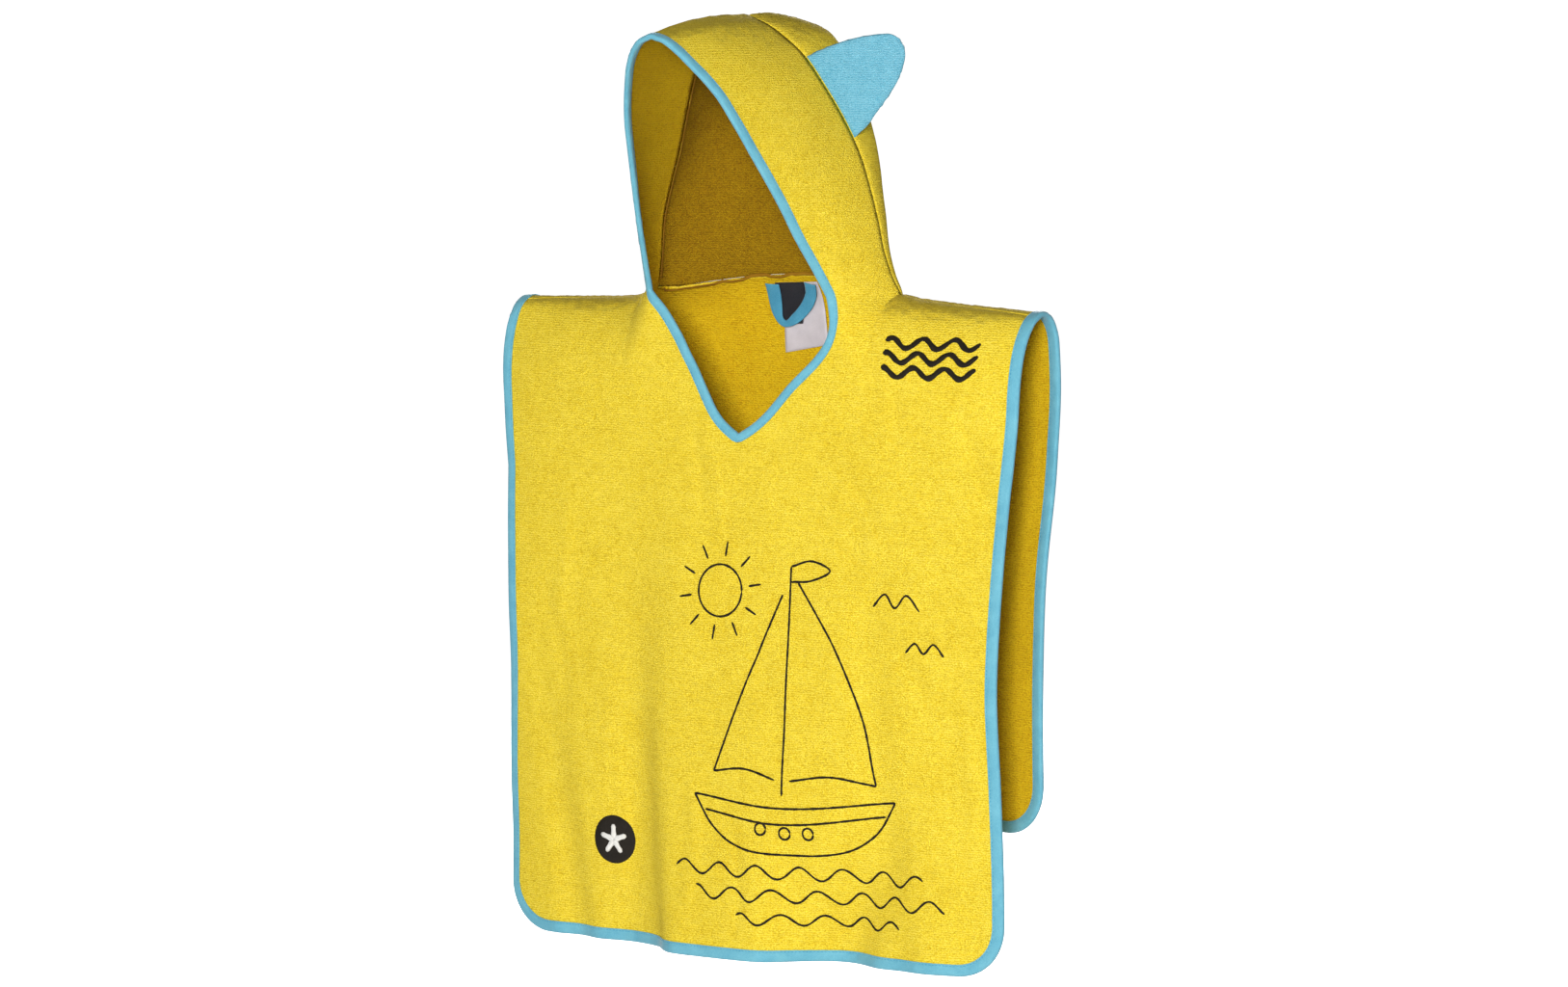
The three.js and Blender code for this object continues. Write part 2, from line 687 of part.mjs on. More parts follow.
// The outer binding: round the front's hem, up its left side, over the shoulder, down and round the
// back, and over the other shoulder.
function outerStations() {
  const stations = [];
  const add = (cloth, i, j, insideI, insideJ) =>
    stations.push({ edge: cloth.at(i, j), inside: cloth.at(insideI, insideJ) });
  const frontLast = front.columns - 1;
  const backLast = back.columns - 1;
  const cornerColumn = (j, last) => Math.min(last - 1, Math.max(1, j));
  for (let j = 0; j <= frontLast; j++) add(front, -1, j, -2, cornerColumn(j, frontLast));
  for (let i = front.rows - 2; i >= 0; i--) add(front, i, frontLast, i, frontLast - 1);
  for (let i = 1; i < back.rows - 1; i++) add(back, i, 0, i, 1);
  for (let j = 0; j <= backLast; j++) add(back, -1, j, -2, cornerColumn(j, backLast));
  for (let i = back.rows - 2; i > 0; i--) add(back, i, backLast, i, backLast - 1);
  for (let i = 0; i < front.rows - 1; i++) add(front, i, 0, i, 1);
  return stations;
}

// The inner binding: down the right side of the V neck, up the left, and back over the hood's opening.
function neckStations() {
  const shoulderCells = CORNER_INSETS.length + SHOULDER_STATIONS.length;
  const rightCorner = shoulderCells + BAND_CELLS;
  const leftCorner = rightCorner + 2 * NECK_CELLS;
  const stations = [];
  for (let j = rightCorner; j <= leftCorner; j++) {
    stations.push({ edge: front.at(0, j), inside: front.at(1, j) });
  }
  for (let k = band.rows - 1; k >= 0; k--) {
    stations.push({ edge: band.at(k, 0), inside: band.at(k, 1) });
  }
  return stations.reverse();
}

// An ear: a flat piece whose base stands in the hood seam, between two places along it.
const EAR = {
  from: 0.485,
  to: 0.77,
  tip: { x: 128, y: 15, z: 241 },
  height: 82,
  lift: 0.7, // clear of the hood
};

// Its outline: the ends of each row, as parts of the base's length.
const EAR_OUTLINE = [
  { up: 0, low: 0.02, high: 1 },
  { up: 15, low: 0.055, high: 0.995 },
  { up: 30, low: 0.13, high: 0.985 },
  { up: 45, low: 0.205, high: 0.955 },
  { up: 60, low: 0.295, high: 0.89 },
  { up: 70, low: 0.385, high: 0.825 },
  { up: 78, low: 0.48, high: 0.74 },
  { up: 82, low: 0.56, high: 0.65 },
];
const earLow = through(EAR_OUTLINE, "up", "low");
const earHigh = through(EAR_OUTLINE, "up", "high");

function ear(side, name) {
  const low = hoodSeam(EAR.from);
  const base = hoodSeam(EAR.to).sub(low);
  const toTip = vector(EAR.tip).sub(low);
  const along = base.clone().normalize();
  const up = toTip.clone().addScaledVector(along, -toTip.dot(along)).normalize();
  const face = along.clone().cross(up);
  const rowCount = 10;
  const columnCount = 8;
  const rows = [];
  for (let i = 0; i <= rowCount; i++) {
    const rise = 1 - (1 - i / rowCount) ** 1.5;
    const high = rise * EAR.height;
    const row = [];
    for (let j = 0; j <= columnCount; j++) {
      const part = j / columnCount;
      const across = mix(earLow(high), earHigh(high), part);
      const p = low.clone().addScaledVector(base, across).addScaledVector(up, high);
      const chord = low.clone().addScaledVector(base, part);
      const seated = hoodSeam(mix(EAR.from, EAR.to, part)).sub(chord);
      p.addScaledVector(seated, (1 - rise) ** 2).addScaledVector(up, EAR.lift);
      row.push(p.multiply(new THREE.Vector3(side, 1, 1)));
    }
    rows.push(side > 0 ? row : row.reverse());
  }
  const cloth = surface(rows);
  const step = 0.05;
  for (let j = 0; j <= columnCount; j++) {
    const part = side > 0 ? j / columnCount : 1 - j / columnCount;
    const place = mix(EAR.from, EAR.to, part);
    const seamLine = hoodSeam(place + step).sub(hoodSeam(place - step));
    const flat = bandPoint(1, place, 1).sub(hoodBackPoint(place, 0.93)).normalize();
    const out = seamLine.cross(flat).normalize();
    const normal = cloth.at(0, j).normal;
    out.x *= side;
    normal.addScaledVector(out, -normal.dot(out)).normalize();
  }
  return wall(name, cloth, EAR_THICK, EAR_BLUE, EAR_THICK / 2);
}

// A thin piece that lies inside the back panel: rows of (x, z) places, held off the cloth by rise.
function insideBack(name, rows, rise, thick, colour) {
  const placed = rows.map((row) => row.map(([x, z]) => backPoint(x, z)));
  return wall(name, surface(placed), thick, colour, -CLOTH - rise);
}

// The corners of the two labels. Both hang a little askew from the neck seam.
const CARE_LABEL = {
  rise: 1.1,
  topRight: [-33, 19],
  topLeft: [12, 21],
  footRight: [-31, -49],
  footLeft: [18, -40],
};
const NAME_LABEL = {
  rise: 2.9,
  topRight: [-35, 20],
  topLeft: [-2, 21.5],
  footRight: [-34, -23],
  footLeft: [-10, -21],
};

function label(name, size, colour) {
  const rows = [];
  for (let i = 0; i <= 4; i++) {
    const right = [0, 1].map((k) => mix(size.topRight[k], size.footRight[k], i / 4));
    const left = [0, 1].map((k) => mix(size.topLeft[k], size.footLeft[k], i / 4));
    rows.push([1, 0.5, 0].map((t) => [mix(right[0], left[0], t), mix(right[1], left[1], t)]));
  }
  return insideBack(name, rows, size.rise, LABEL_THICK, colour);
}

// The hanging loop: a tape from the neck seam, round and back to it. It is narrower where it turns.
const LOOP = {
  rise: 4.2,
  way: [
    { x: -37, z: 20, width: 14 },
    { x: -38, z: 6, width: 14 },
    { x: -37.5, z: -8, width: 12 },
    { x: -34, z: -18, width: 7 },
    { x: -28, z: -21.5, width: 6 },
    { x: -18, z: -17, width: 10 },
    { x: -6, z: -6, width: 12 },
    { x: 3, z: 8, width: 12 },
    { x: 6, z: 21, width: 12 },
  ],
};

function hangLoop() {
  const curve = spaceCurve(LOOP.way.map(({ x, z, width }) => ({ x, y: width, z })));
  const cells = 20;
  const rows = [];
  for (let i = 0; i <= cells; i++) {
    const t = i / cells;
    const along = curve(Math.min(1, t + 0.02)).sub(curve(Math.max(0, t - 0.02)));
    along.y = 0;
    along.normalize();
    const p = curve(t);
    rows.push([-0.5, 0.5].map((half) => [p.x + along.z * half * p.y, p.z - along.x * half * p.y]));
  }
  return insideBack("hang_loop", rows, LOOP.rise, TAPE, AQUA);
}

const poncho = new THREE.Group();
poncho.add(
  wall("front_panel", front, CLOTH, YELLOW),
  wall("back_panel", back, CLOTH, YELLOW),
  wall("hood_band", band, CLOTH, YELLOW),
  wall("hood_back", hoodBack, CLOTH, YELLOW),
  ear(1, "ear_left"),
  ear(-1, "ear_right"),
  binding("binding_outer", outerStations(), AQUA),
  binding("binding_neck", neckStations(), AQUA),
  hangLoop(),
  label("label_dark", NAME_LABEL, BLACK),
  label("label_pale", CARE_LABEL, PALE_GREY),
);

export default poncho;
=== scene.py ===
# A child's hooded bath poncho of terry towelling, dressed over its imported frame. Sizes are in
# millimetres until a piece becomes a Blender mesh, and the forms repeat the solids' own tables.
import json
import math

import bpy
import numpy as np
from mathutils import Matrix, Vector
from mathutils.bvhtree import BVHTree

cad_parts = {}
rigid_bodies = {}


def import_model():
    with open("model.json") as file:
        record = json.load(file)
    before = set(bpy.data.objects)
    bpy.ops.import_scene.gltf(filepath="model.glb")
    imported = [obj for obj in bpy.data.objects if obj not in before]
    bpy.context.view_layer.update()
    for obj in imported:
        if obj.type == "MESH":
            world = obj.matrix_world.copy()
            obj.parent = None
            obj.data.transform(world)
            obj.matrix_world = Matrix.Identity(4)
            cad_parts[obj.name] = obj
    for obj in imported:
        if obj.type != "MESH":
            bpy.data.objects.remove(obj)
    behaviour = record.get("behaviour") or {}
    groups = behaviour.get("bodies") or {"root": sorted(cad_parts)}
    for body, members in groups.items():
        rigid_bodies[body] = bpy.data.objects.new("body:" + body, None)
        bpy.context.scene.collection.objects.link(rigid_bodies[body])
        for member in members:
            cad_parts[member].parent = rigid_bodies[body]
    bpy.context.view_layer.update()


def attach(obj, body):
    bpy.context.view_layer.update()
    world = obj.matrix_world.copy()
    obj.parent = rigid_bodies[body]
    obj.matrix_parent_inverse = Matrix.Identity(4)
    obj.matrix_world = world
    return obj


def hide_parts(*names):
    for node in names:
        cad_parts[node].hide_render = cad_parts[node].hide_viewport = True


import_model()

# Driving sizes, as in the solids
CLOTH = 2.6
HALF_WIDTH = 292.0
FRONT_HEM = -599.0
BACK_HEM = -477.0
CORNER = 45.0
BINDING = 10.0
OUTER_TAPE = 9.2
NECK_TAPE = 6.8
TAPE_NEAR = 0.45
TAPE_FAR = 1.25
NECK = (137.0, -3.0, 11.0)
FRONT_ROUND = 85.0
BACK_ROUND = (60.0, 30.0)
BAND_BULGE = 6.0
EAR_THICK = 5.0
FRONT_UPPER = 7
BACK_UPPER = 7
OVER_RIDGE = 2
FRONT_SPREAD = -160.0
BACK_SPREAD = -120.0
NECK_FAN = 124.0
NAP = 0.45

# Where the camera stands: turned from the front to the wearer's left, how far off and how high in metres
CAMERA_TURN = math.radians(35)
CAMERA_AWAY = 6.0
CAMERA_HEIGHT = 0.335

# How it looks: down and round in degrees, and its focal length in pixels of the photo's width
CAMERA_DIP = 4.87231396
CAMERA_SWING = 35 - 0.04694679
FOCAL_PIXELS = 6720
PHOTO_WIDTH = 1627
SENSOR = 36.0

# How fine the cloth's grid is, in millimetres
FINE = 4.0

# The hood's lines, from the neck to the crown on the wearer's left
OPENING = [
    (101, -65, 12), (95.5, -81.5, 39), (89, -98, 66), (83, -112, 93), (76, -127, 120),
    (68.5, -142.5, 147), (61, -157, 173), (50.5, -171, 200), (33, -189, 228), (16, -198, 245),
    (0, -200, 251),
]
HOOD_SEAM = [
    NECK, (127, -12, 52), (122.6, -15, 79), (114.5, -15.6, 108), (103, -17, 142), (89, -25, 176),
    (70, -37, 213.6), (56, -41, 233), (38.6, -44, 248), (20, -46, 260), (0, -47, 268),
]
HOOD_SPINE = [
    (0, 45, 26), (0, 47, 65), (0, 57, 110), (0, 65, 150), (0, 68, 195), (0, 63, 232),
    (0, 49, 254), (0, 21, 264), (0, -12, 268.5), (0, -47, 268),
]

# The V neck: z, right edge, left edge
V_NECK = [
    (12, -101, 101), (-4, -85, 103), (-17, -75, 102), (-30, -66, 97), (-44, -58, 86),
    (-57, -50, 72), (-70, -43, 57), (-83, -36, 44), (-97, -28, 30), (-109, -17, 15),
    (-119, -2, -2),
]

# Side reach: z, left, right
SIDES = [
    (12, 291, 280), (-60, 293, 279), (-130, 289, 277), (-225, 283, 273), (-305, 279, 269),
    (-355, 278, 268), (-435, 281, 271), (-599, 282, 273),
]

# Ridge height: distance out from the neck point, left, right
RIDGE = [(0, 11, 11), (12, 10.5, 6), (30, 9, 3), (70, 6, 1), (115, 3.5, 0), (155, 1, -1)]

# Depth of each panel: z, middle, side
FRONT_DEPTH = [
    (12, 67, 45), (-85, 63, 46), (-130, 62, 49), (-225, 63, 56), (-305, 65, 59),
    (-435, 67, 56), (-515, 66, 51), (-599, 66, 51),
]
BACK_DEPTH = [(26, 58, 22), (-130, 63, 27), (-250, 64, 20), (-335, 62, 20), (-477, 58, 16)]

# Large folds, as in the solids: x, z, foot x, foot z, width, rise
FRONT_CRESTS = [
    (176, -400, 110, -599, 56, -19),
    (230, -430, 204, -599, 50, 5),
    (-246, -230, -190, -599, 30, -6),
    (-92, -90, -128, -599, 40, -5),
    (118, -60, 152, -360, 30, -3),
]
BACK_CRESTS = [
    (-128, -40, -160, -477, 62, 12),
    (-30, -90, -62, -477, 48, -9),
    (70, -60, 62, -477, 66, 13),
    (168, -80, 176, -477, 48, -8),
]
FOLD = dict(top=-90, step_top=-121, step_hem=-76, soft_top=26, soft_hem=15, rise=30,
            return_x=58, return_soft=16, sharp_from=-430)

# Small creases: x, z, to x, to z, half width, rise
FRONT_CREASES = [
    (-61, -100, -39, -205, 12, -1.3),
    (-30, -128, -22, -230, 9, 0.9),
    (165, -62, 168, -130, 11, -1.1),
    (150, -40, 158, -100, 10, 0.8),
    (-223, -108, -113, -128, 11, -1.2),
    (-262, -60, -180, -78, 12, 0.9),
    (161, -296, 220, -370, 15, -1.5),
    (217, -60, 274, -210, 15, -1.4),
    (-236, -250, -200, -420, 14, -1.2),
    (-205, -150, -222, -330, 16, 1.2),
    (20, -300, 60, -420, 20, -1.2),
    (-40, -420, -52, -590, 16, 1.4),
    (8, -470, 14, -595, 13, -1.3),
    (-140, -420, -150, -590, 14, 1.2),
    (236, -330, 250, -520, 13, 1.3),
    (150, -170, 120, -290, 17, 0.9),
    (95, -130, 160, -210, 14, -0.9),
]
BACK_CREASES = [
    (-210, -60, -224, -300, 18, 1.5),
    (-150, -20, -190, -120, 14, -1.3),
    (-95, -150, -110, -420, 16, -1.4),
    (20, -60, 8, -330, 18, 1.6),
    (120, -20, 176, -140, 15, -1.4),
    (228, -80, 212, -350, 17, 1.4),
    (118, -220, 126, -470, 14, 1.3),
    (-20, -300, -6, -470, 15, -1.3),
    (-246, -190, -180, -250, 13, -1.1),
    (252, -200, 196, -262, 13, -1.1),
]


# Small maths on arrays
def mix(a, b, t):
    return a + (b - a) * t


def clamp01(t):
    return np.clip(t, 0.0, 1.0)


def smooth_step(t):
    t = clamp01(t)
    return t * t * (3 - 2 * t)


def unit(v):
    return v / np.maximum(np.linalg.norm(v, axis=-1, keepdims=True), 1e-9)


def lengths(points):
    """How far along a line of points each one is."""
    return np.concatenate([[0], np.cumsum(np.linalg.norm(np.diff(points, axis=0), axis=1))])


def through(keys, values):
    """A smooth curve through a table: the value at a key."""
    keys, values = np.asarray(keys, float), np.asarray(values, float)
    order = np.argsort(keys, kind="stable")
    keys, values = keys[order], values[order]
    last = len(keys) - 1
    before = np.maximum(0, np.arange(last + 1) - 1)
    after = np.minimum(last, np.arange(last + 1) + 1)
    slope = (values[after] - values[before]) / (keys[after] - keys[before])

    def curve(at):
        at = np.clip(at, keys[0], keys[-1])
        i = np.clip(np.searchsorted(keys, at, side="right") - 1, 0, last - 1)
        h = keys[i + 1] - keys[i]
        t = (at - keys[i]) / h
        return (values[i] * (1 + 2 * t) * (1 - t) ** 2 + slope[i] * h * t * (1 - t) ** 2
                + values[i + 1] * t * t * (3 - 2 * t) + slope[i + 1] * h * t * t * (t - 1))

    return curve


def column(rows, key, value):
    return through([row[key] for row in rows], [row[value] for row in rows])


def space_curve(points):
    """A smooth line through points, from 0 at the first to 1 at the last by length."""
    points = np.asarray(points, float)
    way = lengths(points)
    axes = [through(way, points[:, k]) for k in range(3)]
    return lambda t: np.stack([axis(np.asarray(t, float) * way[-1]) for axis in axes], -1)


opening = space_curve(OPENING)
hood_seam = space_curve(HOOD_SEAM)
hood_spine = space_curve(HOOD_SPINE)
left_reach, right_reach = column(SIDES, 0, 1), column(SIDES, 0, 2)
left_ridge, right_ridge = column(RIDGE, 0, 1), column(RIDGE, 0, 2)
front_middle, front_side = column(FRONT_DEPTH, 0, 1), column(FRONT_DEPTH, 0, 2)
back_middle, back_side = column(BACK_DEPTH, 0, 1), column(BACK_DEPTH, 0, 2)


def band_point(side, up, across):
    """The hood's band, cut in one with the front."""
    up, across = np.broadcast_arrays(np.asarray(up, float), np.asarray(across, float))
    edge, seam = opening(up), hood_seam(up)
    low, high = np.maximum(0, up - 0.01), np.minimum(1, up + 0.01)
    rise = opening(high) + hood_seam(high) - opening(low) - hood_seam(low)
    rise = np.where((up >= 1)[..., None], np.array([-1.0, 0, 0]), rise)
    out = -unit(np.cross(rise, seam - edge))
    p = edge + (seam - edge) * across[..., None]
    p = p + out * (BAND_BULGE * 4 * across * (1 - across))[..., None]
    return p * np.array([side, 1, 1])


def hood_back_point(up, turn):
    """The hood's back: up from the neck to the crown, turn from -1 to 1 round from right to left."""
    up, turn = np.broadcast_arrays(np.asarray(up, float), np.asarray(turn, float))
    seam, spine = hood_seam(up), hood_spine(up)
    angle = turn * math.pi / 2
    full = mix(1.06, 0.98, smooth_step(up * 2))
    lift = mix(2.4, full, smooth_step(up * 4))
    cosine = np.maximum(np.cos(angle), 0)
    x = seam[..., 0] * np.sign(turn) * np.abs(np.sin(angle)) ** full
    y = mix(seam[..., 1], spine[..., 1], cosine ** full)
    z = mix(seam[..., 2], spine[..., 2], cosine ** lift)
    return np.stack([x, y, z], -1)


def side_reach(x, z):
    return np.where(x > 0, left_reach(z), right_reach(z))


def ridge(x):
    out = np.maximum(0, np.abs(x) - NECK[0])
    return np.where(x > 0, left_ridge(out), right_ridge(out))


def seam_forward(x):
    return mix(-NECK[1], 12, (abs(x) - NECK[0]) / (HALF_WIDTH - NECK[0]))


def crest_rise(crests, x, z):
    total = np.zeros(np.broadcast(x, z).shape)
    for top_x, top_z, foot_x, foot_z, wide, rise in crests:
        down = (top_z - z) / (top_z - foot_z)
        away = np.clip((x - mix(top_x, foot_x, down)) / wide, -1, 1)
        total = total + rise * smooth_step(down) * np.cos(away * math.pi / 2) ** 2
    return total


def broad_fold_rise(x, z):
    down = clamp01((FOLD["top"] - z) / (FOLD["top"] - FRONT_HEM))
    soft = mix(FOLD["soft_top"], FOLD["soft_hem"], down)
    step = 0.5 + 0.5 * np.tanh((x - mix(FOLD["step_top"], FOLD["step_hem"], down)) / soft)
    sharp = smooth_step((FOLD["sharp_from"] - z) / (FOLD["sharp_from"] - FRONT_HEM - 20))
    gentle = 1 - smooth_step((x - 20) / (left_reach(z) - 20))
    sudden = 0.5 - 0.5 * np.tanh((x - FOLD["return_x"]) / FOLD["return_soft"])
    return FOLD["rise"] * down ** 1.3 * step * mix(gentle, sudden, sharp)


def front_depth(x, z):
    across = np.minimum(1, np.abs(x) / side_reach(x, z))
    flat = mix(front_middle(z), front_side(z), across ** 2.4)
    return flat + broad_fold_rise(x, z) + crest_rise(FRONT_CRESTS, x, z)


def back_depth(x, z):
    across = np.minimum(1, np.abs(x) / side_reach(x, z))
    return mix(back_middle(z), back_side(z), across ** 2) + crest_rise(BACK_CRESTS, x, z)


NECK_LINE = band_point(1, 0, np.linspace(0, 1, 21))
neck_forward = through(NECK_LINE[:, 0], -NECK_LINE[:, 1])
neck_height = through(NECK_LINE[:, 0], NECK_LINE[:, 2])
BACK_NECK = hood_back_point(0, np.linspace(0, 1, 21))
neck_back = through(BACK_NECK[:, 0], BACK_NECK[:, 1])
back_neck_height = through(BACK_NECK[:, 0], BACK_NECK[:, 2])


def rounded(depth, over, in_neck, start, start_height, ridge_height, z):
    cosine = np.where(in_neck, np.sqrt(1 - np.minimum(1, np.maximum(0, start) / depth) ** 2), 1.0)
    top = np.where(in_neck, start_height, ridge_height)
    left = clamp01(cosine - (top - z) / over)
    return depth * np.sqrt(1 - left * left)


def front_point(x, z):
    x, z = np.broadcast_arrays(np.asarray(x, float), np.asarray(z, float))
    a = np.abs(x)
    forward = rounded(front_depth(x, z), FRONT_ROUND, a < NECK[0], neck_forward(a), neck_height(a),
                      ridge(x), z)
    return np.stack([x, -forward, z], -1)


def back_point(x, z):
    x, z = np.broadcast_arrays(np.asarray(x, float), np.asarray(z, float))
    a = np.abs(x)
    over = mix(BACK_ROUND[0], BACK_ROUND[1], np.minimum(1, a / HALF_WIDTH))
    back = rounded(back_depth(x, z), over, a < NECK[0], neck_back(a), back_neck_height(a),
                   ridge(x), z)
    return np.stack([x, back, z], -1)


def shoulder_point(x, forward):
    x, forward = np.broadcast_arrays(np.asarray(x, float), np.asarray(forward, float))
    depth = front_depth(x, ridge(x))
    z = ridge(x) - FRONT_ROUND * (1 - np.sqrt(1 - (forward / depth) ** 2))
    return np.stack([x, -forward, z], -1)


def column_x(x, z):
    inset = HALF_WIDTH - abs(x)
    reach = side_reach(np.full(np.shape(z), x), z)
    if inset < CORNER:
        return np.sign(x) * (reach - inset)
    return x * (reach - CORNER) / (HALF_WIDTH - CORNER)


def cornered(x, z, hem):
    """Turns the grid at a lower corner so that hem and side run round it on arcs."""
    reach = side_reach(x, z)
    a, b = CORNER - (reach - np.abs(x)), CORNER - (z - hem)
    turn = (a > 0) & (b > 0)
    with np.errstate(divide="ignore", invalid="ignore"):
        angle = np.where(a >= b, math.pi / 4 * b / a, math.pi / 2 - math.pi / 4 * a / b)
    radius = np.maximum(a, b)
    new_x = np.sign(x) * (reach - CORNER + radius * np.cos(angle))
    new_z = hem + CORNER - radius * np.sin(angle)
    return np.where(turn, new_x, x), np.where(turn, new_z, z)


def v_neck_edge(side):
    rows = np.array(V_NECK, float)
    return space_curve(front_point(rows[:, 2 if side > 0 else 1], rows[:, 0]))


def inside_neck_edge(curve, side, t):
    """The place one binding's width inside the V neck's edge, measured on the cloth."""
    p = curve(t)
    along = unit(curve(min(1, t + 0.02)) - curve(max(0, t - 0.02)))
    across = front_point(p[0] + 1, p[2]) - front_point(p[0] - 1, p[2])
    upward = front_point(p[0], p[2] + 1) - front_point(p[0], p[2] - 1)
    inward = unit(np.cross(unit(np.cross(across, upward)), along) * side)
    return p[0] + inward[0] * BINDING, p[2] + inward[2] * BINDING


# Stations of the grids
def stretch(start, end, step=None):
    count = max(1, round(abs(end - start) / (step or FINE)))
    return np.linspace(start, end, count + 1)


EDGE_INSETS = np.array([0, 3, 6, BINDING, 14, 18, 23, 28, 33.5, 39])
SHOULDER_X = np.concatenate([HALF_WIDTH - EDGE_INSETS, stretch(HALF_WIDTH - CORNER, NECK[0])])
BAND_WIDTH = float(np.linalg.norm(opening(0.0) - hood_seam(0.0)))
BAND_ACROSS = np.concatenate([
    np.array([0, 0.35, 0.7]) * BINDING / BAND_WIDTH,
    np.linspace(BINDING / BAND_WIDTH, 1, max(4, round((BAND_WIDTH - BINDING) / FINE)) + 1),
])
V_STEPS = np.linspace(0, 1, 44)


def lower_heights(start, hem):
    return np.concatenate([stretch(start, hem + CORNER)[1:], hem + EDGE_INSETS[::-1]])


def front_grid():
    """Columns from the wearer's right to the left, each from the top edge to the hem."""
    s = np.concatenate([[0, 0.3, 0.65], stretch(1, FRONT_UPPER, FINE / 27)])
    low_z = lower_heights(FRONT_SPREAD, FRONT_HEM)

    def build(x, top, inside, bend):
        first = 0.0 if inside is None else 1.0
        from_x, from_z = (top[0], top[2]) if inside is None else inside
        t = clamp01((s - first) / (FRONT_UPPER - first))
        fall = mix(t, 1 - np.cos(t * math.pi / 2), bend)
        z = mix(from_z, FRONT_SPREAD, fall)
        px = mix(from_x, column_x(x, z), fall if inside is None else 1 - (1 - t) ** 2)
        if inside is not None:
            near = clamp01(s)
            px = np.where(s < 1, mix(top[0], from_x, near), px)
            z = np.where(s < 1, mix(top[2], from_z, near), z)
        upper = front_point(px, z)
        upper = upper + (top - upper[0]) * (np.maximum(0, 1 - s) ** 2)[:, None]
        wide = column_x(x, low_z)
        lower = front_point(*cornered(wide, low_z, FRONT_HEM))
        return np.concatenate([upper, lower])

    def half(side):
        columns = []
        for x in SHOULDER_X:
            at = side * x
            top = band_point(side, 0, 1) if x == NECK[0] else shoulder_point(at, seam_forward(x))
            columns.append(build(at, top, None, 1))
        curve = v_neck_edge(side)
        corner = band_point(side, 0, 0)
        in_corner = inside_neck_edge(curve, side, 0.5 / 8)
        fan = side * NECK_FAN
        for across in BAND_ACROSS[1:-1][::-1]:
            top = band_point(side, 0, across)
            inside_z = mix(in_corner[1], top[2] - BINDING, smooth_step(across / 0.35))
            inside = (top[0] + (in_corner[0] - corner[0]) * (1 - across), inside_z)
            columns.append(build(mix(fan, side * NECK[0], across), top, inside, 0.6))
        for t in V_STEPS[:-1]:
            inside = inside_neck_edge(curve, side, t)
            inside = tuple(mix(np.array(in_corner), np.array(inside), smooth_step(t * 8)))
            bend = 0.6 * (1 - smooth_step(t / 0.5))
            columns.append(build(mix(fan, -2, t), corner if t == 0 else curve(t), inside, bend))
        return columns

    point = v_neck_edge(1)(1.0)
    middle = build(-2.0, point, (point[0], point[2] - BINDING * 1.25), 0)
    return relaxed(np.stack(half(-1) + [middle] + half(1)[::-1], axis=1))


def relaxed(grid, last=30, rounds=12):
    """Evens out the cells below the V neck, where columns crowd together."""
    x, z = grid[..., 0].copy(), grid[..., 2].copy()
    inner = (slice(3, last), slice(len(SHOULDER_X), -len(SHOULDER_X)))
    for _ in range(rounds):
        for values in (x, z):
            up, down = np.roll(values, 1, 0)[inner], np.roll(values, -1, 0)[inner]
            left, right = np.roll(values, 1, 1)[inner], np.roll(values, -1, 1)[inner]
            values[inner] = (2 * values[inner] + up + down + left + right) / 6
    moved = front_point(x, z)
    grid[inner] = moved[inner]
    return grid


def back_grid():
    """Columns from the wearer's left to the right, each from the seams over the ridge to the hem."""
    s = np.concatenate([[0, 0.5, 1, 1.5], stretch(OVER_RIDGE, BACK_UPPER, FINE / 24)])
    low_z = lower_heights(BACK_SPREAD, BACK_HEM)

    def build(x, top):
        lapped = abs(x) >= NECK[0]
        settle = 1.0 if lapped else float(smooth_step((abs(x) - 80) / (NECK[0] - 80)))
        t = mix(s / BACK_UPPER, np.maximum(0, s - OVER_RIDGE) / (BACK_UPPER - OVER_RIDGE), settle)
        start = float(ridge(x)) if lapped else top[2]
        z = mix(start, BACK_SPREAD, 1 - np.cos(t * math.pi / 2))
        upper = back_point(mix(x, column_x(x, z), t), z)
        if lapped:
            over = shoulder_point(x, -top[1] * (1 - np.minimum(s, OVER_RIDGE) / OVER_RIDGE))
            upper = np.where((s <= OVER_RIDGE)[:, None], over, upper)
        upper = upper + (top - upper[0]) * (np.maximum(0, 1 - s) ** 2)[:, None]
        lower = back_point(*cornered(column_x(x, low_z), low_z, BACK_HEM))
        return np.concatenate([upper, lower])

    def half(side):
        columns = []
        for x in SHOULDER_X:
            at = side * x
            top = band_point(side, 0, 1) if x == NECK[0] else shoulder_point(at, seam_forward(x))
            columns.append(build(at, top))
        return columns

    turns = np.linspace(-1, 1, 2 * len(BAND_ACROSS) + 13)[1:-1]
    tops = hood_back_point(0, turns)
    neck = [build(top[0], top) for top in tops[::-1]]
    return np.stack(half(1) + neck + half(-1)[::-1], axis=1)


ARCH = np.linspace(0, 1, 84)


def band_grid():
    rows = [band_point(-1, up, BAND_ACROSS) for up in ARCH[:-1]]
    rows += [band_point(1, up, BAND_ACROSS) for up in ARCH[::-1]]
    return np.stack(rows)


def hood_back_grid():
    turns = np.linspace(1, -1, 2 * len(BAND_ACROSS) + 13)
    return np.stack([hood_back_point(up, turns) for up in ARCH[::-1]])


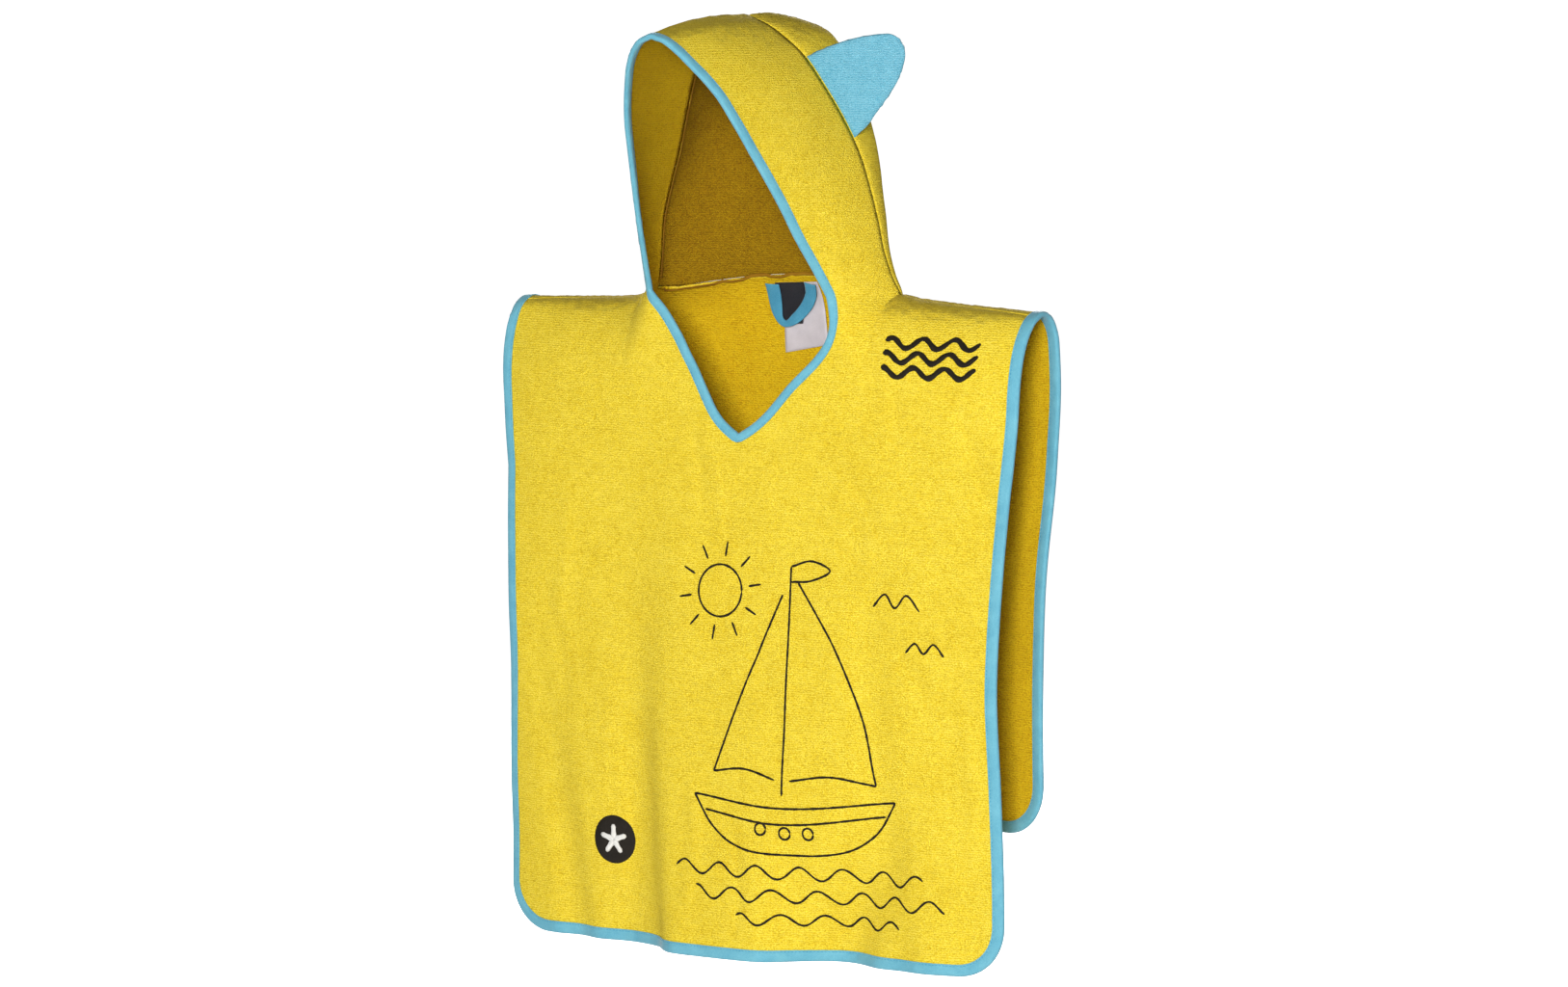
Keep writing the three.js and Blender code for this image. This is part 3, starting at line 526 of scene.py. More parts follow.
# Surfaces made of grids that share points
class Sheet:
    """Points, faces and normals of one or more grids joined where their points meet."""

    def __init__(self, grids):
        points = np.concatenate([g.reshape(-1, 3) for g in grids])
        keys = np.round(points / 0.02).astype(np.int64)
        _, first, inverse = np.unique(keys, axis=0, return_index=True, return_inverse=True)
        inverse = inverse.reshape(-1)
        self.points = points[first]
        self.ids = []
        quads = []
        at = 0
        for g in grids:
            rows, columns = g.shape[:2]
            ids = inverse[at:at + rows * columns].reshape(rows, columns)
            at += rows * columns
            self.ids.append(ids)
            cells = np.stack([ids[:-1, :-1], ids[1:, :-1], ids[1:, 1:], ids[:-1, 1:]], -1)
            quads.append(cells.reshape(-1, 4))
        self.faces = np.concatenate(quads)
        self.refresh()

    def refresh(self):
        p, q = self.points, self.faces
        normal = np.cross(p[q[:, 2]] - p[q[:, 0]], p[q[:, 3]] - p[q[:, 1]])
        normal = unit(normal)
        total = np.zeros_like(p)
        for k in range(4):
            np.add.at(total, q[:, k], normal)
        self.normals = unit(total)

    def open_edges(self):
        edges = {}
        for quad in self.faces.tolist():
            ring = [v for i, v in enumerate(quad) if v != quad[i - 1]]
            for i, a in enumerate(ring):
                b = ring[(i + 1) % len(ring)]
                if edges.pop((b, a), None) is None:
                    edges[(a, b)] = True
        return list(edges)


def unevenness(p, scale=1.0):
    """The slow waves of hanging cloth."""
    x, y, z = p[:, 0], p[:, 1], p[:, 2]
    wave = np.sin(x / 31 + 0.7 * np.sin(z / 67 + 1.3)) * np.sin(z / 83 + 0.9)
    wave = wave + 0.7 * np.sin(x / 17 + z / 71 + 2.1) * np.sin(z / 47 - x / 90)
    wave = wave + 0.45 * np.sin(x / 9.5 - z / 39 + y / 21) * np.sin(z / 23 + x / 57)
    return 0.55 * scale * wave


def crease_rise(creases, p):
    """Creases given one by one: each fades at both ends and to its sides."""
    x, z = p[:, 0], p[:, 2]
    total = np.zeros(len(p))
    for ax, az, bx, bz, wide, rise in creases:
        dx, dz = bx - ax, bz - az
        length = math.hypot(dx, dz)
        along = ((x - ax) * dx + (z - az) * dz) / length ** 2
        bow = 0.06 * length * np.sin(clamp01(along) * math.pi)
        away = ((x - ax) * dz - (z - az) * dx) / length + bow
        ends = smooth_step(along / 0.3) * smooth_step((1 - along) / 0.3)
        fall = np.exp(-(away / (wide * 0.55)) ** 2) - 0.35 * np.exp(-(away / (wide * 1.3)) ** 2)
        total = total + 1.4 * rise * ends * fall
    return total


front = Sheet([front_grid(), band_grid()])
back = Sheet([back_grid()])
hood = Sheet([hood_back_grid()])


def line_distance(points, line, reach=60.0):
    """How far each point is from a line of points."""
    best = np.full(len(points), reach)
    low, high = line.min(0) - reach, line.max(0) + reach
    near = np.where(np.all((points > low) & (points < high), axis=1))[0]
    for start in range(0, len(near), 2000):
        some = near[start:start + 2000]
        gap = np.linalg.norm(points[some][:, None] - line[None], axis=2).min(1)
        best[some] = np.minimum(best[some], gap)
    return best


def line_points(line, step=2.5):
    way = lengths(line)
    at = np.linspace(0, way[-1], max(2, round(way[-1] / step)))
    return np.stack([np.interp(at, way, line[:, k]) for k in range(3)], -1)


# The seams, as lines of points
HOOD_LINE = np.concatenate([band_point(-1, ARCH, 1), band_point(1, ARCH[::-1][1:], 1)])
SHOULDERS = [
    shoulder_point(side * np.linspace(NECK[0], HALF_WIDTH, 60),
                   np.array([seam_forward(x) for x in np.linspace(NECK[0], HALF_WIDTH, 60)]))
    for side in (-1, 1)
]
BACK_NECK_LINE = hood_back_point(0, np.linspace(-1, 1, 90))
SEAMS = [HOOD_LINE, *SHOULDERS, BACK_NECK_LINE]
SEAM_POINTS = np.concatenate([line_points(line) for line in SEAMS])


def dress(sheet, creases, scale=1.0):
    """Moves a sheet's points out and in: waves, creases and the pinch of its seams."""
    p = sheet.points
    seam = line_distance(p, SEAM_POINTS)
    calm = smooth_step(seam / 30)
    move = calm * (unevenness(p, scale) + crease_rise(creases, p))
    pinch = -0.35 * np.exp(-(seam / 2.6) ** 2) + 0.25 * np.exp(-((seam - 8) / 5) ** 2)
    nap = NAP * smooth_step((sheet.normals[:, 2] - 0.25) / 0.4) * smooth_step(seam / 8)
    nap = nap * np.random.default_rng(5).uniform(-1, 1, len(p))
    p = p + sheet.normals * (move + pinch + nap)[:, None]
    for side in (-1, 1):
        gap = np.linalg.norm(p - np.array([side * NECK[0], NECK[1], NECK[2]]), axis=1)
        p = p + np.exp(-(gap / 13) ** 2)[:, None] * np.array([side * 1.6, 0.4, 2.6])
    sheet.points = p
    sheet.refresh()


def turn_away(sheet):
    """Rolls the front's side edges back a little, most on the wearer's right and low down."""
    x, z = sheet.points[:, 0], sheet.points[:, 2]
    inset = np.maximum(0, side_reach(x, np.minimum(z, 0)) - np.abs(x))
    panel = smooth_step((-8 - z) / 30)
    narrow = np.where(x < 0, 2.0, 1.0) * clamp01(1 - inset / 26) ** 2
    low = smooth_step((-260 - z) / 200)
    broad = np.where(x < 0, 12.0, 0.0) * clamp01(1 - inset / 120) ** 2 * mix(0.4, 1.0, low)
    back_way = np.array([-math.sin(CAMERA_TURN), math.cos(CAMERA_TURN), 0.0])
    sheet.points = sheet.points + ((narrow + broad) * panel)[:, None] * back_way
    sheet.refresh()


HOOD_CREASES_FRONT = [
    (-118, 60, -92, 165, 12, -1.1),
    (112, 40, 96, 120, 13, -1.2),
    (70, 120, 52, 210, 12, 0.9),
    (128, 20, 112, 66, 9, -1.0),
    (-128, 16, -110, 70, 9, -1.0),
]
HOOD_CREASES_BACK = [
    (-60, 60, -36, 200, 18, -1.6),
    (44, 50, 66, 190, 18, -1.5),
    (0, 90, -8, 230, 16, 1.5),
    (-84, 30, -70, 130, 12, 1.3),
    (88, 34, 96, 130, 12, 1.2),
    (-100, 16, 60, 30, 10, -1.4),
]
dress(front, FRONT_CREASES + HOOD_CREASES_FRONT)
turn_away(front)
dress(back, BACK_CREASES, 1.3)
dress(hood, HOOD_CREASES_BACK, 1.5)


# Materials
def linear(r, g, b):
    """A colour given as it looks in an 8-bit picture."""
    def one(v):
        v /= 255
        return v / 12.92 if v <= 0.04045 else ((v + 0.055) / 1.055) ** 2.4
    return (one(r), one(g), one(b), 1.0)


def material(name):
    made = bpy.data.materials.new(name)
    made.use_nodes = True
    tree = made.node_tree
    shader = tree.nodes["Principled BSDF"]
    shader.inputs["Metallic"].default_value = 0.0
    return made, tree, shader


def node(tree, kind, **values):
    made = tree.nodes.new(kind)
    for key, value in values.items():
        if hasattr(made, key):
            setattr(made, key, value)
        else:
            made.inputs[key.replace("_", " ")].default_value = value
    return made


def maths(tree, operation, first, second=0.0, third=0.0):
    """A math node of up to three values or outputs."""
    made = node(tree, "ShaderNodeMath", operation=operation)
    for socket, value in zip(made.inputs, (first, second, third)):
        if isinstance(value, float):
            socket.default_value = value
        else:
            tree.links.new(value, socket)
    return made.outputs[0]


def map_range(tree, value, from_min, from_max, to_min, to_max):
    made = node(tree, "ShaderNodeMapRange", interpolation_type="SMOOTHSTEP", From_Min=from_min,
                From_Max=from_max, To_Min=to_min, To_Max=to_max)
    tree.links.new(value, made.inputs["Value"])
    return made.outputs["Result"]


def axes(tree, vector):
    made = node(tree, "ShaderNodeSeparateXYZ")
    tree.links.new(vector, made.inputs[0])
    return made.outputs["X"], made.outputs["Y"], made.outputs["Z"]


def ramp(tree, factor, stops):
    made = tree.nodes.new("ShaderNodeValToRGB")
    elements = made.color_ramp.elements
    while len(elements) < len(stops):
        elements.new(0.5)
    for element, (at, colour) in zip(elements, stops):
        element.position = at
        element.color = colour
    tree.links.new(factor, made.inputs["Fac"])
    return made.outputs["Color"]


def placed_on_object(tree, textures):
    place = node(tree, "ShaderNodeTexCoord").outputs["Object"]
    for texture in textures:
        tree.links.new(place, texture.inputs["Vector"])


def surface(tree, shader, colour, height, bump_strength, bump_reach, **values):
    """Gives the shader its colour, its bump, and its even values by their sockets' names."""
    tree.links.new(colour, shader.inputs["Base Color"])
    for key, value in values.items():
        shader.inputs[key.replace("_", " ")].default_value = value
    bump = node(tree, "ShaderNodeBump", Strength=bump_strength, Distance=bump_reach)
    tree.links.new(height, bump.inputs["Height"])
    tree.links.new(bump.outputs["Normal"], shader.inputs["Normal"])


def painted_shade_on_top(tree, colour, top, patchy):
    """Painted shade: mixes the colour towards a darker top colour where the cloth faces up, broken into
    patches by noise.
    """
    upward = axes(tree, node(tree, "ShaderNodeNewGeometry").outputs["Normal"])[2]
    top_shade_amount = maths(tree, "MULTIPLY_ADD", patchy, 0.35, upward)
    blend = node(tree, "ShaderNodeMix", data_type="RGBA")
    tree.links.new(map_range(tree, top_shade_amount, 0.86, 1.12, 0.0, 0.8), blend.inputs["Factor"])
    tree.links.new(colour, blend.inputs[6])
    blend.inputs[7].default_value = top
    return blend.outputs[2]


def terry(name, dark, mid, light, loop_scale=620.0, depth=0.9, sheen=0.35, top=None):
    """Looped towelling: small loops in close rows, mottled where the pile lies over."""
    made, tree, shader = material(name)
    loops = node(tree, "ShaderNodeTexVoronoi", Scale=loop_scale, Randomness=0.85)
    fuzz = node(tree, "ShaderNodeTexNoise", Scale=loop_scale * 1.7, Detail=3.0, Roughness=0.65)
    rows = node(tree, "ShaderNodeTexWave", wave_type="BANDS", bands_direction="Z",
                Scale=150.0, Distortion=5.0, Detail=2.0, Detail_Scale=2.2)
    mottle = node(tree, "ShaderNodeTexNoise", Scale=26.0, Detail=4.0, Roughness=0.6)
    patches = node(tree, "ShaderNodeTexNoise", Scale=120.0, Detail=3.0, Roughness=0.6)
    placed_on_object(tree, (loops, fuzz, rows, mottle, patches))
    height = maths(tree, "MULTIPLY_ADD", loops.outputs["Distance"], -0.8, 0.75)
    height = maths(tree, "MULTIPLY_ADD", fuzz.outputs["Fac"], 0.45, height)
    height = maths(tree, "MULTIPLY_ADD", rows.outputs["Fac"], 0.42, height)
    uneven = maths(tree, "MULTIPLY_ADD", patches.outputs["Fac"], 0.3, -0.09)
    uneven = maths(tree, "MULTIPLY_ADD", mottle.outputs["Fac"], 0.2, uneven)
    tone = maths(tree, "MULTIPLY_ADD", height, 0.6, uneven)
    colour = ramp(tree, tone, [(0.36, dark), (0.62, mid), (0.9, light)])
    # Painted shade on upward-facing cloth, when a top colour is given.
    if top:
        colour = painted_shade_on_top(tree, colour, top, patches.outputs["Fac"])
    surface(tree, shader, colour, height, depth, 0.0012, Roughness=0.95, Specular_IOR_Level=0.15,
            Sheen_Weight=sheen, Sheen_Roughness=0.55, Sheen_Tint=light)
    return made


def woven(name, dark, light, scale=900.0, depth=0.5, rough=0.7, sheen=0.15):
    """Woven tape: fine crossing threads."""
    made, tree, shader = material(name)
    across = node(tree, "ShaderNodeTexWave", wave_type="BANDS", bands_direction="DIAGONAL",
                  Scale=scale * 0.42, Distortion=1.5, Detail=1.0)
    threads = node(tree, "ShaderNodeTexNoise", Scale=scale, Detail=3.0, Roughness=0.6)
    wear = node(tree, "ShaderNodeTexNoise", Scale=60.0, Detail=3.0, Roughness=0.6)
    placed_on_object(tree, (across, threads, wear))
    height = maths(tree, "MULTIPLY_ADD", across.outputs["Fac"], 0.5, threads.outputs["Fac"])
    worn = maths(tree, "MULTIPLY", wear.outputs["Fac"], 0.5)
    colour = ramp(tree, maths(tree, "MULTIPLY_ADD", height, 0.4, worn), [(0.3, dark), (0.8, light)])
    surface(tree, shader, colour, height, depth, 0.0004, Roughness=rough, Specular_IOR_Level=0.25,
            Sheen_Weight=sheen, Sheen_Roughness=0.5)
    return made


# top: painted shade colour for upward-facing outer cloth.
YELLOW = terry("terry_yellow_out", linear(196, 162, 26), linear(219, 192, 46), linear(234, 211, 76),
               top=linear(132, 112, 30))
# Inner faces: the same yellow terry painted darker and more saturated, as painted shade and bounce light.
YELLOW_INSIDE_SHADED = terry("terry_yellow_in_painted_shade", linear(180, 138, 10), linear(204, 167, 16), linear(216, 182, 30),
              sheen=0.2)
# Hood's inner faces: the yellow terry painted much darker, as painted shade in the hood's hollow.
HOOD_INSIDE_SHADED = terry("terry_yellow_hood_in_painted_shade", linear(112, 80, 3), linear(134, 101, 4), linear(152, 120, 9),
                   sheen=0.1)
AQUA = woven("binding_aqua_tape", linear(72, 142, 166), linear(112, 175, 190))
LOOP_AQUA = woven("loop_aqua_tape", linear(44, 114, 144), linear(76, 150, 178))
AQUA_THREAD = woven("binding_thread", linear(48, 122, 152), linear(84, 158, 182), 2200.0)
# top: painted shade colour for the ear's upward-facing pile.
EAR_BLUE = terry("ear_blue_pile", linear(76, 142, 164), linear(101, 164, 184), linear(126, 180, 196),
                 900.0, 0.6, top=linear(40, 84, 104))
BLACK_THREAD = woven("black_thread", linear(10, 7, 4), linear(34, 27, 17), 1800.0, 0.7, 0.7, 0.0)
LABEL_BLACK = woven("label_black_satin", linear(14, 15, 20), linear(34, 36, 44), 2400.0, 0.25, 0.45)
LABEL_GREY = woven("label_grey_satin", linear(166, 160, 164), linear(198, 192, 196), 2400.0, 0.25, 0.5)
WHITE_THREAD = woven("white_thread", linear(190, 188, 182), linear(226, 224, 218), 1800.0, 0.6, 0.6)
SEAM_THREAD = woven("seam_thread", linear(118, 78, 4), linear(156, 114, 10), 1800.0, 0.8, 0.8, 0.0)


# Making Blender objects
def put(name, data):
    made = bpy.data.objects.new(name, data)
    bpy.context.scene.collection.objects.link(made)
    return made


def add_object(name, points, faces, materials, slots=None):
    data = bpy.data.meshes.new(name)
    data.from_pydata((np.asarray(points) * 0.001).tolist(), [], faces)
    for used in materials:
        data.materials.append(used)
    if slots is not None:
        data.polygons.foreach_set("material_index", np.asarray(slots, dtype=np.int32))
    data.polygons.foreach_set("use_smooth", np.full(len(data.polygons), True))
    data.validate()
    data.update()
    made = put(name, data)
    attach(made, "root")
    return made


def clean_faces(quads):
    faces = []
    for quad in quads:
        ring = [v for i, v in enumerate(quad) if v != quad[i - 1]]
        if len(ring) > 2 and len(set(ring)) == len(ring):
            faces.append(ring)
    return faces


def tube_faces(count, ring, start=0, closed=False):
    """Faces over points that are numbered ring by ring, with an end to each open tube."""
    faces = []
    for s in range(count if closed else count - 1):
        here, ahead = start + s * ring, start + (s + 1) % count * ring
        for k in range(ring):
            m = (k + 1) % ring
            faces.append([here + k, here + m, ahead + m, ahead + k])
    if not closed:
        last = start + (count - 1) * ring
        faces += [list(range(start, start + ring))[::-1], list(range(last, last + ring))]
    return faces


def slab_faces(rows, columns):
    """Faces over two grids of points, one behind the other, and round their edge."""
    count = rows * columns
    quads = [[i * columns + j, i * columns + j + 1, (i + 1) * columns + j + 1, (i + 1) * columns + j]
             for i in range(rows - 1) for j in range(columns - 1)]
    ring = list(range(columns))
    ring += [i * columns + columns - 1 for i in range(1, rows)]
    ring += [(rows - 1) * columns + j for j in range(columns - 2, -1, -1)]
    ring += [i * columns for i in range(rows - 2, 0, -1)]
    behind = [[v + count for v in quad[::-1]] for quad in quads]
    return quads + behind + [[a, a + count, b + count, b] for a, b in zip(ring, ring[1:] + ring[:1])]


def shell(name, sheet, thick, outside, inside):
    """A thin closed cloth: its outer face, the same moved in, and a rim."""
    count = len(sheet.points)
    points = np.concatenate([sheet.points, sheet.points - sheet.normals * thick])
    outer = clean_faces(sheet.faces.tolist())
    inner = [[v + count for v in face[::-1]] for face in outer]
    rim = [[b, a, a + count, b + count] for a, b in sheet.open_edges()]
    slots = [0] * len(outer) + [1] * len(inner) + [0] * len(rim)
    return add_object(name, points, outer + inner + rim, [outside, inside], slots)


front_cloth = shell("front_cloth", front, CLOTH, YELLOW, YELLOW_INSIDE_SHADED)
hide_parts("front_panel", "hood_band")
back_cloth = shell("back_cloth", back, CLOTH, YELLOW, YELLOW_INSIDE_SHADED)
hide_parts("back_panel")
hood_cloth = shell("hood_cloth", hood, CLOTH, YELLOW, HOOD_INSIDE_SHADED)
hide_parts("hood_back")


# Finding places on the cloth
def tree_of(*sheets):
    points, faces, at = [], [], 0
    for sheet in sheets:
        points += [Vector(p) for p in sheet.points]
        faces += [[v + at for v in face] for face in clean_faces(sheet.faces.tolist())]
        at += len(sheet.points)
    return BVHTree.FromPolygons(points, faces)


CLOTH_TREE = tree_of(front, back, hood)
FRONT_TREE = tree_of(front)


def on_cloth(p, tree):
    """The nearest point of the cloth, and its normal."""
    place, normal, _, _ = tree.find_nearest(Vector(p))
    return np.array(place), np.array(normal)


def smooth_rows(values, rounds, closed=True):
    for _ in range(rounds):
        if closed:
            values = (np.roll(values, 1, 0) + 2 * values + np.roll(values, -1, 0)) / 4
        else:
            inner = (values[:-2] + 2 * values[1:-1] + values[2:]) / 4
            values = np.concatenate([values[:1], inner, values[-1:]])
    return values


def resample(line, step):
    """Even steps round a closed line."""
    line = np.concatenate([line, line[:1]])
    way = lengths(line)
    count = max(3, round(way[-1] / step))
    at = np.linspace(0, way[-1], count + 1)[:-1]
    return np.stack([np.interp(at, way, line[:, k]) for k in range(line.shape[1])], -1)


# The bindings
TAPE_STEP = 3.2

# The tape's face from its inner edge to the fold: part of the way, rise
TAPE_FACE = [(0, -0.35), (0.03, 0.0), (0.1, 0.05), (0.17, -0.32), (0.25, 0.0), (0.5, 0.28), (0.8, 0.16)]


def tape_stations(line, normals):
    """Edge points at even steps with the cloth's normal, the way out, and the place inside."""
    both = np.concatenate([line, normals], axis=1)
    rows = resample(both, TAPE_STEP)
    edge, normal = rows[:, :3], unit(smooth_rows(rows[:, 3:], 2))
    along = unit(np.roll(edge, -1, 0) - np.roll(edge, 1, 0))
    out = unit(np.cross(along, normal))
    return edge, normal, out


def tape(name, edge, normal, out, width, tree):
    """The folded tape: its two faces, its round fold over the edge, and its underside."""
    near, far = TAPE_NEAR, TAPE_FAR
    count = len(edge)
    inside = np.empty_like(edge)
    inner_normal = np.empty_like(edge)
    for i in range(count):
        place, cloth_normal = on_cloth(edge[i] - out[i] * width[i], tree)
        if cloth_normal @ normal[i] < 0:
            cloth_normal = -cloth_normal
        inside[i], inner_normal[i] = place, cloth_normal
    inside = smooth_rows(inside, 2)
    inner_normal = unit(smooth_rows(unit(inner_normal), 4))
    step = np.arange(count)
    ripple = 0.16 * np.sin(step * 0.9) + 0.14 * np.sin(step * 0.37 + 1) + 0.1 * np.sin(step * 1.71)

    def flat(part, height):
        p = mix(inside, edge, part)
        n = unit(mix(inner_normal, normal, part))
        return p + n * height[:, None]

    radius = CLOTH / 2 + far
    middle = edge - normal * (CLOTH / 2)
    rings = []
    for part, rise in TAPE_FACE:
        rings.append(flat(part, far + rise + ripple * min(1, part * 3)))
    for angle in (90, 54, 18, -18, -54, -90):
        a = math.radians(angle)
        rings.append(middle + out * (radius * math.cos(a) * 0.8) + normal * (radius * math.sin(a)))
    for part, rise in TAPE_FACE[::-1]:
        rings.append(flat(part, -CLOTH - far - rise - ripple * min(1, part * 3)))
    above, below = np.full(count, near), np.full(count, -CLOTH - near)
    rings += [flat(0, below), flat(0.9, below), middle + out * near, flat(0.9, above), flat(0, above)]
    rings = np.stack(rings, axis=1)
    faces = tube_faces(count, rings.shape[1], closed=True)
    made = add_object(name, rings.reshape(-1, 3), faces, [AQUA])
    lines = []
    for height, flip in ((far - 0.3, 1), (-CLOTH - far + 0.3, -1)):
        lines.append((flat(0.17, np.full(count, height)), inner_normal * flip))
    return made, lines


def stitches(name, lines, thread, length=2.3, gap=1.1, wide=0.55):
    """Lock stitches: short rounded threads in a row."""
    profile = [(-0.5, 0.0), (-0.32, 0.8), (0.32, 0.8), (0.5, 0.0)]
    sides = [(-1, 0.0), (-0.5, 0.9), (0.5, 0.9), (1, 0.0)]
    points, faces = [], []
    for line, normals in lines:
        rows = resample(np.concatenate([line, normals], axis=1), length + gap)
        place, normal = rows[:, :3], unit(rows[:, 3:])
        along = unit(np.roll(place, -1, 0) - np.roll(place, 1, 0))
        across = unit(np.cross(along, normal))
        for p, n, a, c in zip(place, normal, along, across):
            base = len(points)
            for t, full in profile:
                for s, rise in sides:
                    points.append(p + a * t * length + c * s * wide * (0.5 + 0.5 * full)
                                  + n * (rise * full * wide * 1.3 - 0.1))
            for i in range(3):
                for j in range(3):
                    v = base + i * 4 + j
                    faces.append([v, v + 4, v + 5, v + 1])
    return add_object(name, np.array(points), faces, [thread])


def grid_line(sheet, grid, index):
    ids = sheet.ids[grid][index]
    return sheet.points[ids], sheet.normals[ids]


def outer_line():
    parts = [
        grid_line(front, 0, (-1, slice(None))),
        grid_line(front, 0, (slice(-2, None, -1), -1)),
        grid_line(back, 0, (slice(1, -1), 0)),
        grid_line(back, 0, (-1, slice(None))),
        grid_line(back, 0, (slice(-2, 0, -1), -1)),
        grid_line(front, 0, (slice(0, -1), 0)),
    ]
    return np.concatenate([p for p, _ in parts]), np.concatenate([n for _, n in parts])


def neck_line():
    first = len(SHOULDER_X) + len(BAND_ACROSS) - 2
    last = first + 2 * (len(V_STEPS) - 1)
    parts = [
        grid_line(front, 0, (0, slice(first, last + 1))),
        grid_line(front, 1, (slice(-2, 0, -1), 0)),
    ]
    points = np.concatenate([p for p, _ in parts])
    normals = np.concatenate([n for _, n in parts])
    return points[::-1], normals[::-1]


outer_edge, outer_normal, outer_out = tape_stations(*outer_line())
neck_edge, neck_normal, neck_out = tape_stations(*neck_line())


def facing_out(edge, out):
    """Turns the way out round where it points into the cloth."""
    votes = 0
    for p, step in zip(edge[::9], out[::9] * 5):
        inward, _ = on_cloth(p - step, CLOTH_TREE)
        outward, _ = on_cloth(p + step, CLOTH_TREE)
        votes += np.linalg.norm(outward - p - step) - np.linalg.norm(inward - p + step)
    return out if votes > 0 else -out


outer_out = facing_out(outer_edge, outer_out)
neck_out = facing_out(neck_edge, neck_out)
v_tip = int(np.argmin(np.linalg.norm(neck_edge - v_neck_edge(1)(1.0), axis=1)))
neck_width = np.full(len(neck_edge), NECK_TAPE)
neck_width[v_tip] = NECK_TAPE * 1.4

outer_tape, outer_lines = tape("binding_outer_tape", outer_edge, outer_normal, outer_out,
                               np.full(len(outer_edge), OUTER_TAPE), CLOTH_TREE)
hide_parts("binding_outer")
neck_tape, neck_lines = tape("binding_neck_tape", neck_edge, neck_normal, neck_out, neck_width,
                             CLOTH_TREE)
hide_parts("binding_neck")
for name, lines in (("binding_outer_stitches", outer_lines), ("binding_neck_stitches", neck_lines)):
    stitches(name, lines, AQUA_THREAD)


# Seams: the turned-in allowance with its overlock thread, inside the cloth
def allowance(name, line, wide=2.6, high=0.9):
    line = line_points(line, 2.2)
    normals = np.array([on_cloth(p, CLOTH_TREE)[1] for p in line])
    normals = unit(smooth_rows(normals, 6, closed=False))
    along = unit(np.gradient(line, axis=0))
    across = unit(np.cross(along, normals))
    step = np.arange(len(line))
    wave = 0.3 * np.sin(step * 1.9) + 0.18 * np.sin(step * 0.8)
    rings = []
    for angle in np.linspace(0, 2 * math.pi, 10, endpoint=False):
        sideways = wide / 2 * math.cos(angle) + wave * 0.5
        inward = CLOTH + 0.6 + high / 2 * (1 + math.sin(angle)) + wave * 0.2
        rings.append(line - normals * inward[:, None] + across * sideways[:, None])
    rings = np.stack(rings, axis=1)
    faces = tube_faces(*rings.shape[:2])
    made = add_object(name, rings.reshape(-1, 3), faces, [SEAM_THREAD])
    return made


allowance("seam_hood", HOOD_LINE[3:-3])
allowance("seam_shoulder_right", SHOULDERS[0][2:-3])
allowance("seam_shoulder_left", SHOULDERS[1][2:-3])
allowance("seam_back_neck", BACK_NECK_LINE[4:-4], 3.4, 1.4)

# The ears
EAR = dict(start=0.485, end=0.77, tip=(128, 15, 241), height=82.0, lift=0.7)
EAR_OUTLINE = [
    (0, 0.02, 1.0), (15, 0.055, 0.985), (30, 0.13, 0.96), (45, 0.205, 0.92), (60, 0.295, 0.86),
    (70, 0.385, 0.81), (78, 0.48, 0.75), (82, 0.57, 0.67),
]


def ear(name, side, replaced):
    low = hood_seam(EAR["start"])
    base = hood_seam(EAR["end"]) - low
    along = unit(base)
    to_tip = np.array(EAR["tip"], float) - low
    up = unit(to_tip - along * (to_tip @ along))
    face = np.cross(along, up)
    ear_low, ear_high = column(EAR_OUTLINE, 0, 1), column(EAR_OUTLINE, 0, 2)
    rows, columns = 34, 30
    rise = 1 - (1 - np.linspace(0, 1, rows)) ** 1.5
    part = 0.5 - 0.5 * np.cos(np.linspace(0, math.pi, columns))
    grid = np.empty((rows, columns, 3))
    thick = np.empty((rows, columns))
    for i, r in enumerate(rise):
        high = r * EAR["height"]
        across = mix(float(ear_low(high)), float(ear_high(high)), part)
        p = low + base * across[:, None] + up * high
        chord = low + base * part[:, None]
        seated = hood_seam(mix(EAR["start"], EAR["end"], part)) - chord
        grid[i] = p + seated * (1 - r) ** 2 + up * EAR["lift"]
        edge = np.minimum(part, 1 - part) * (ear_high(high) - ear_low(high)) * np.linalg.norm(base)
        top = (EAR["height"] - high) * 0.9
        near = np.minimum(edge, top)
        thick[i] = EAR_THICK / 2 * np.sqrt(1 - np.clip(1 - near / 3.2, 0, 1) ** 2)
    fringe = np.random.default_rng(9).uniform(-0.6, 0.6, (rows, columns))
    grid[1:, 0] += along * fringe[1:, :1]
    grid[1:, -1] += along * fringe[1:, -1:]
    grid[-1] += up * fringe[-1][:, None]
    puff = 0.5 * np.sin(np.linspace(0, math.pi, columns))[None] * np.sin(rise * math.pi)[:, None]
    x = np.arange(columns)[None]
    y = np.arange(rows)[:, None]
    wave = 0.35 * np.sin(x * 0.45 + y * 0.3) * np.sin(y * 0.33 + 1)
    outer = grid + face * (thick + puff + wave * thick / 2.5)[..., None]
    inner = grid - face * (thick + puff - wave * thick / 2.5)[..., None]
    points = np.concatenate([outer.reshape(-1, 3), inner.reshape(-1, 3)]) * np.array([side, 1, 1])
    faces = slab_faces(rows, columns)
    if side < 0:
        faces = [f[::-1] for f in faces]
    made = add_object(name, points, faces, [EAR_BLUE])
    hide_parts(replaced)
    return made


ear("ear_left_pile", 1, "ear_left")
ear("ear_right_pile", -1, "ear_right")


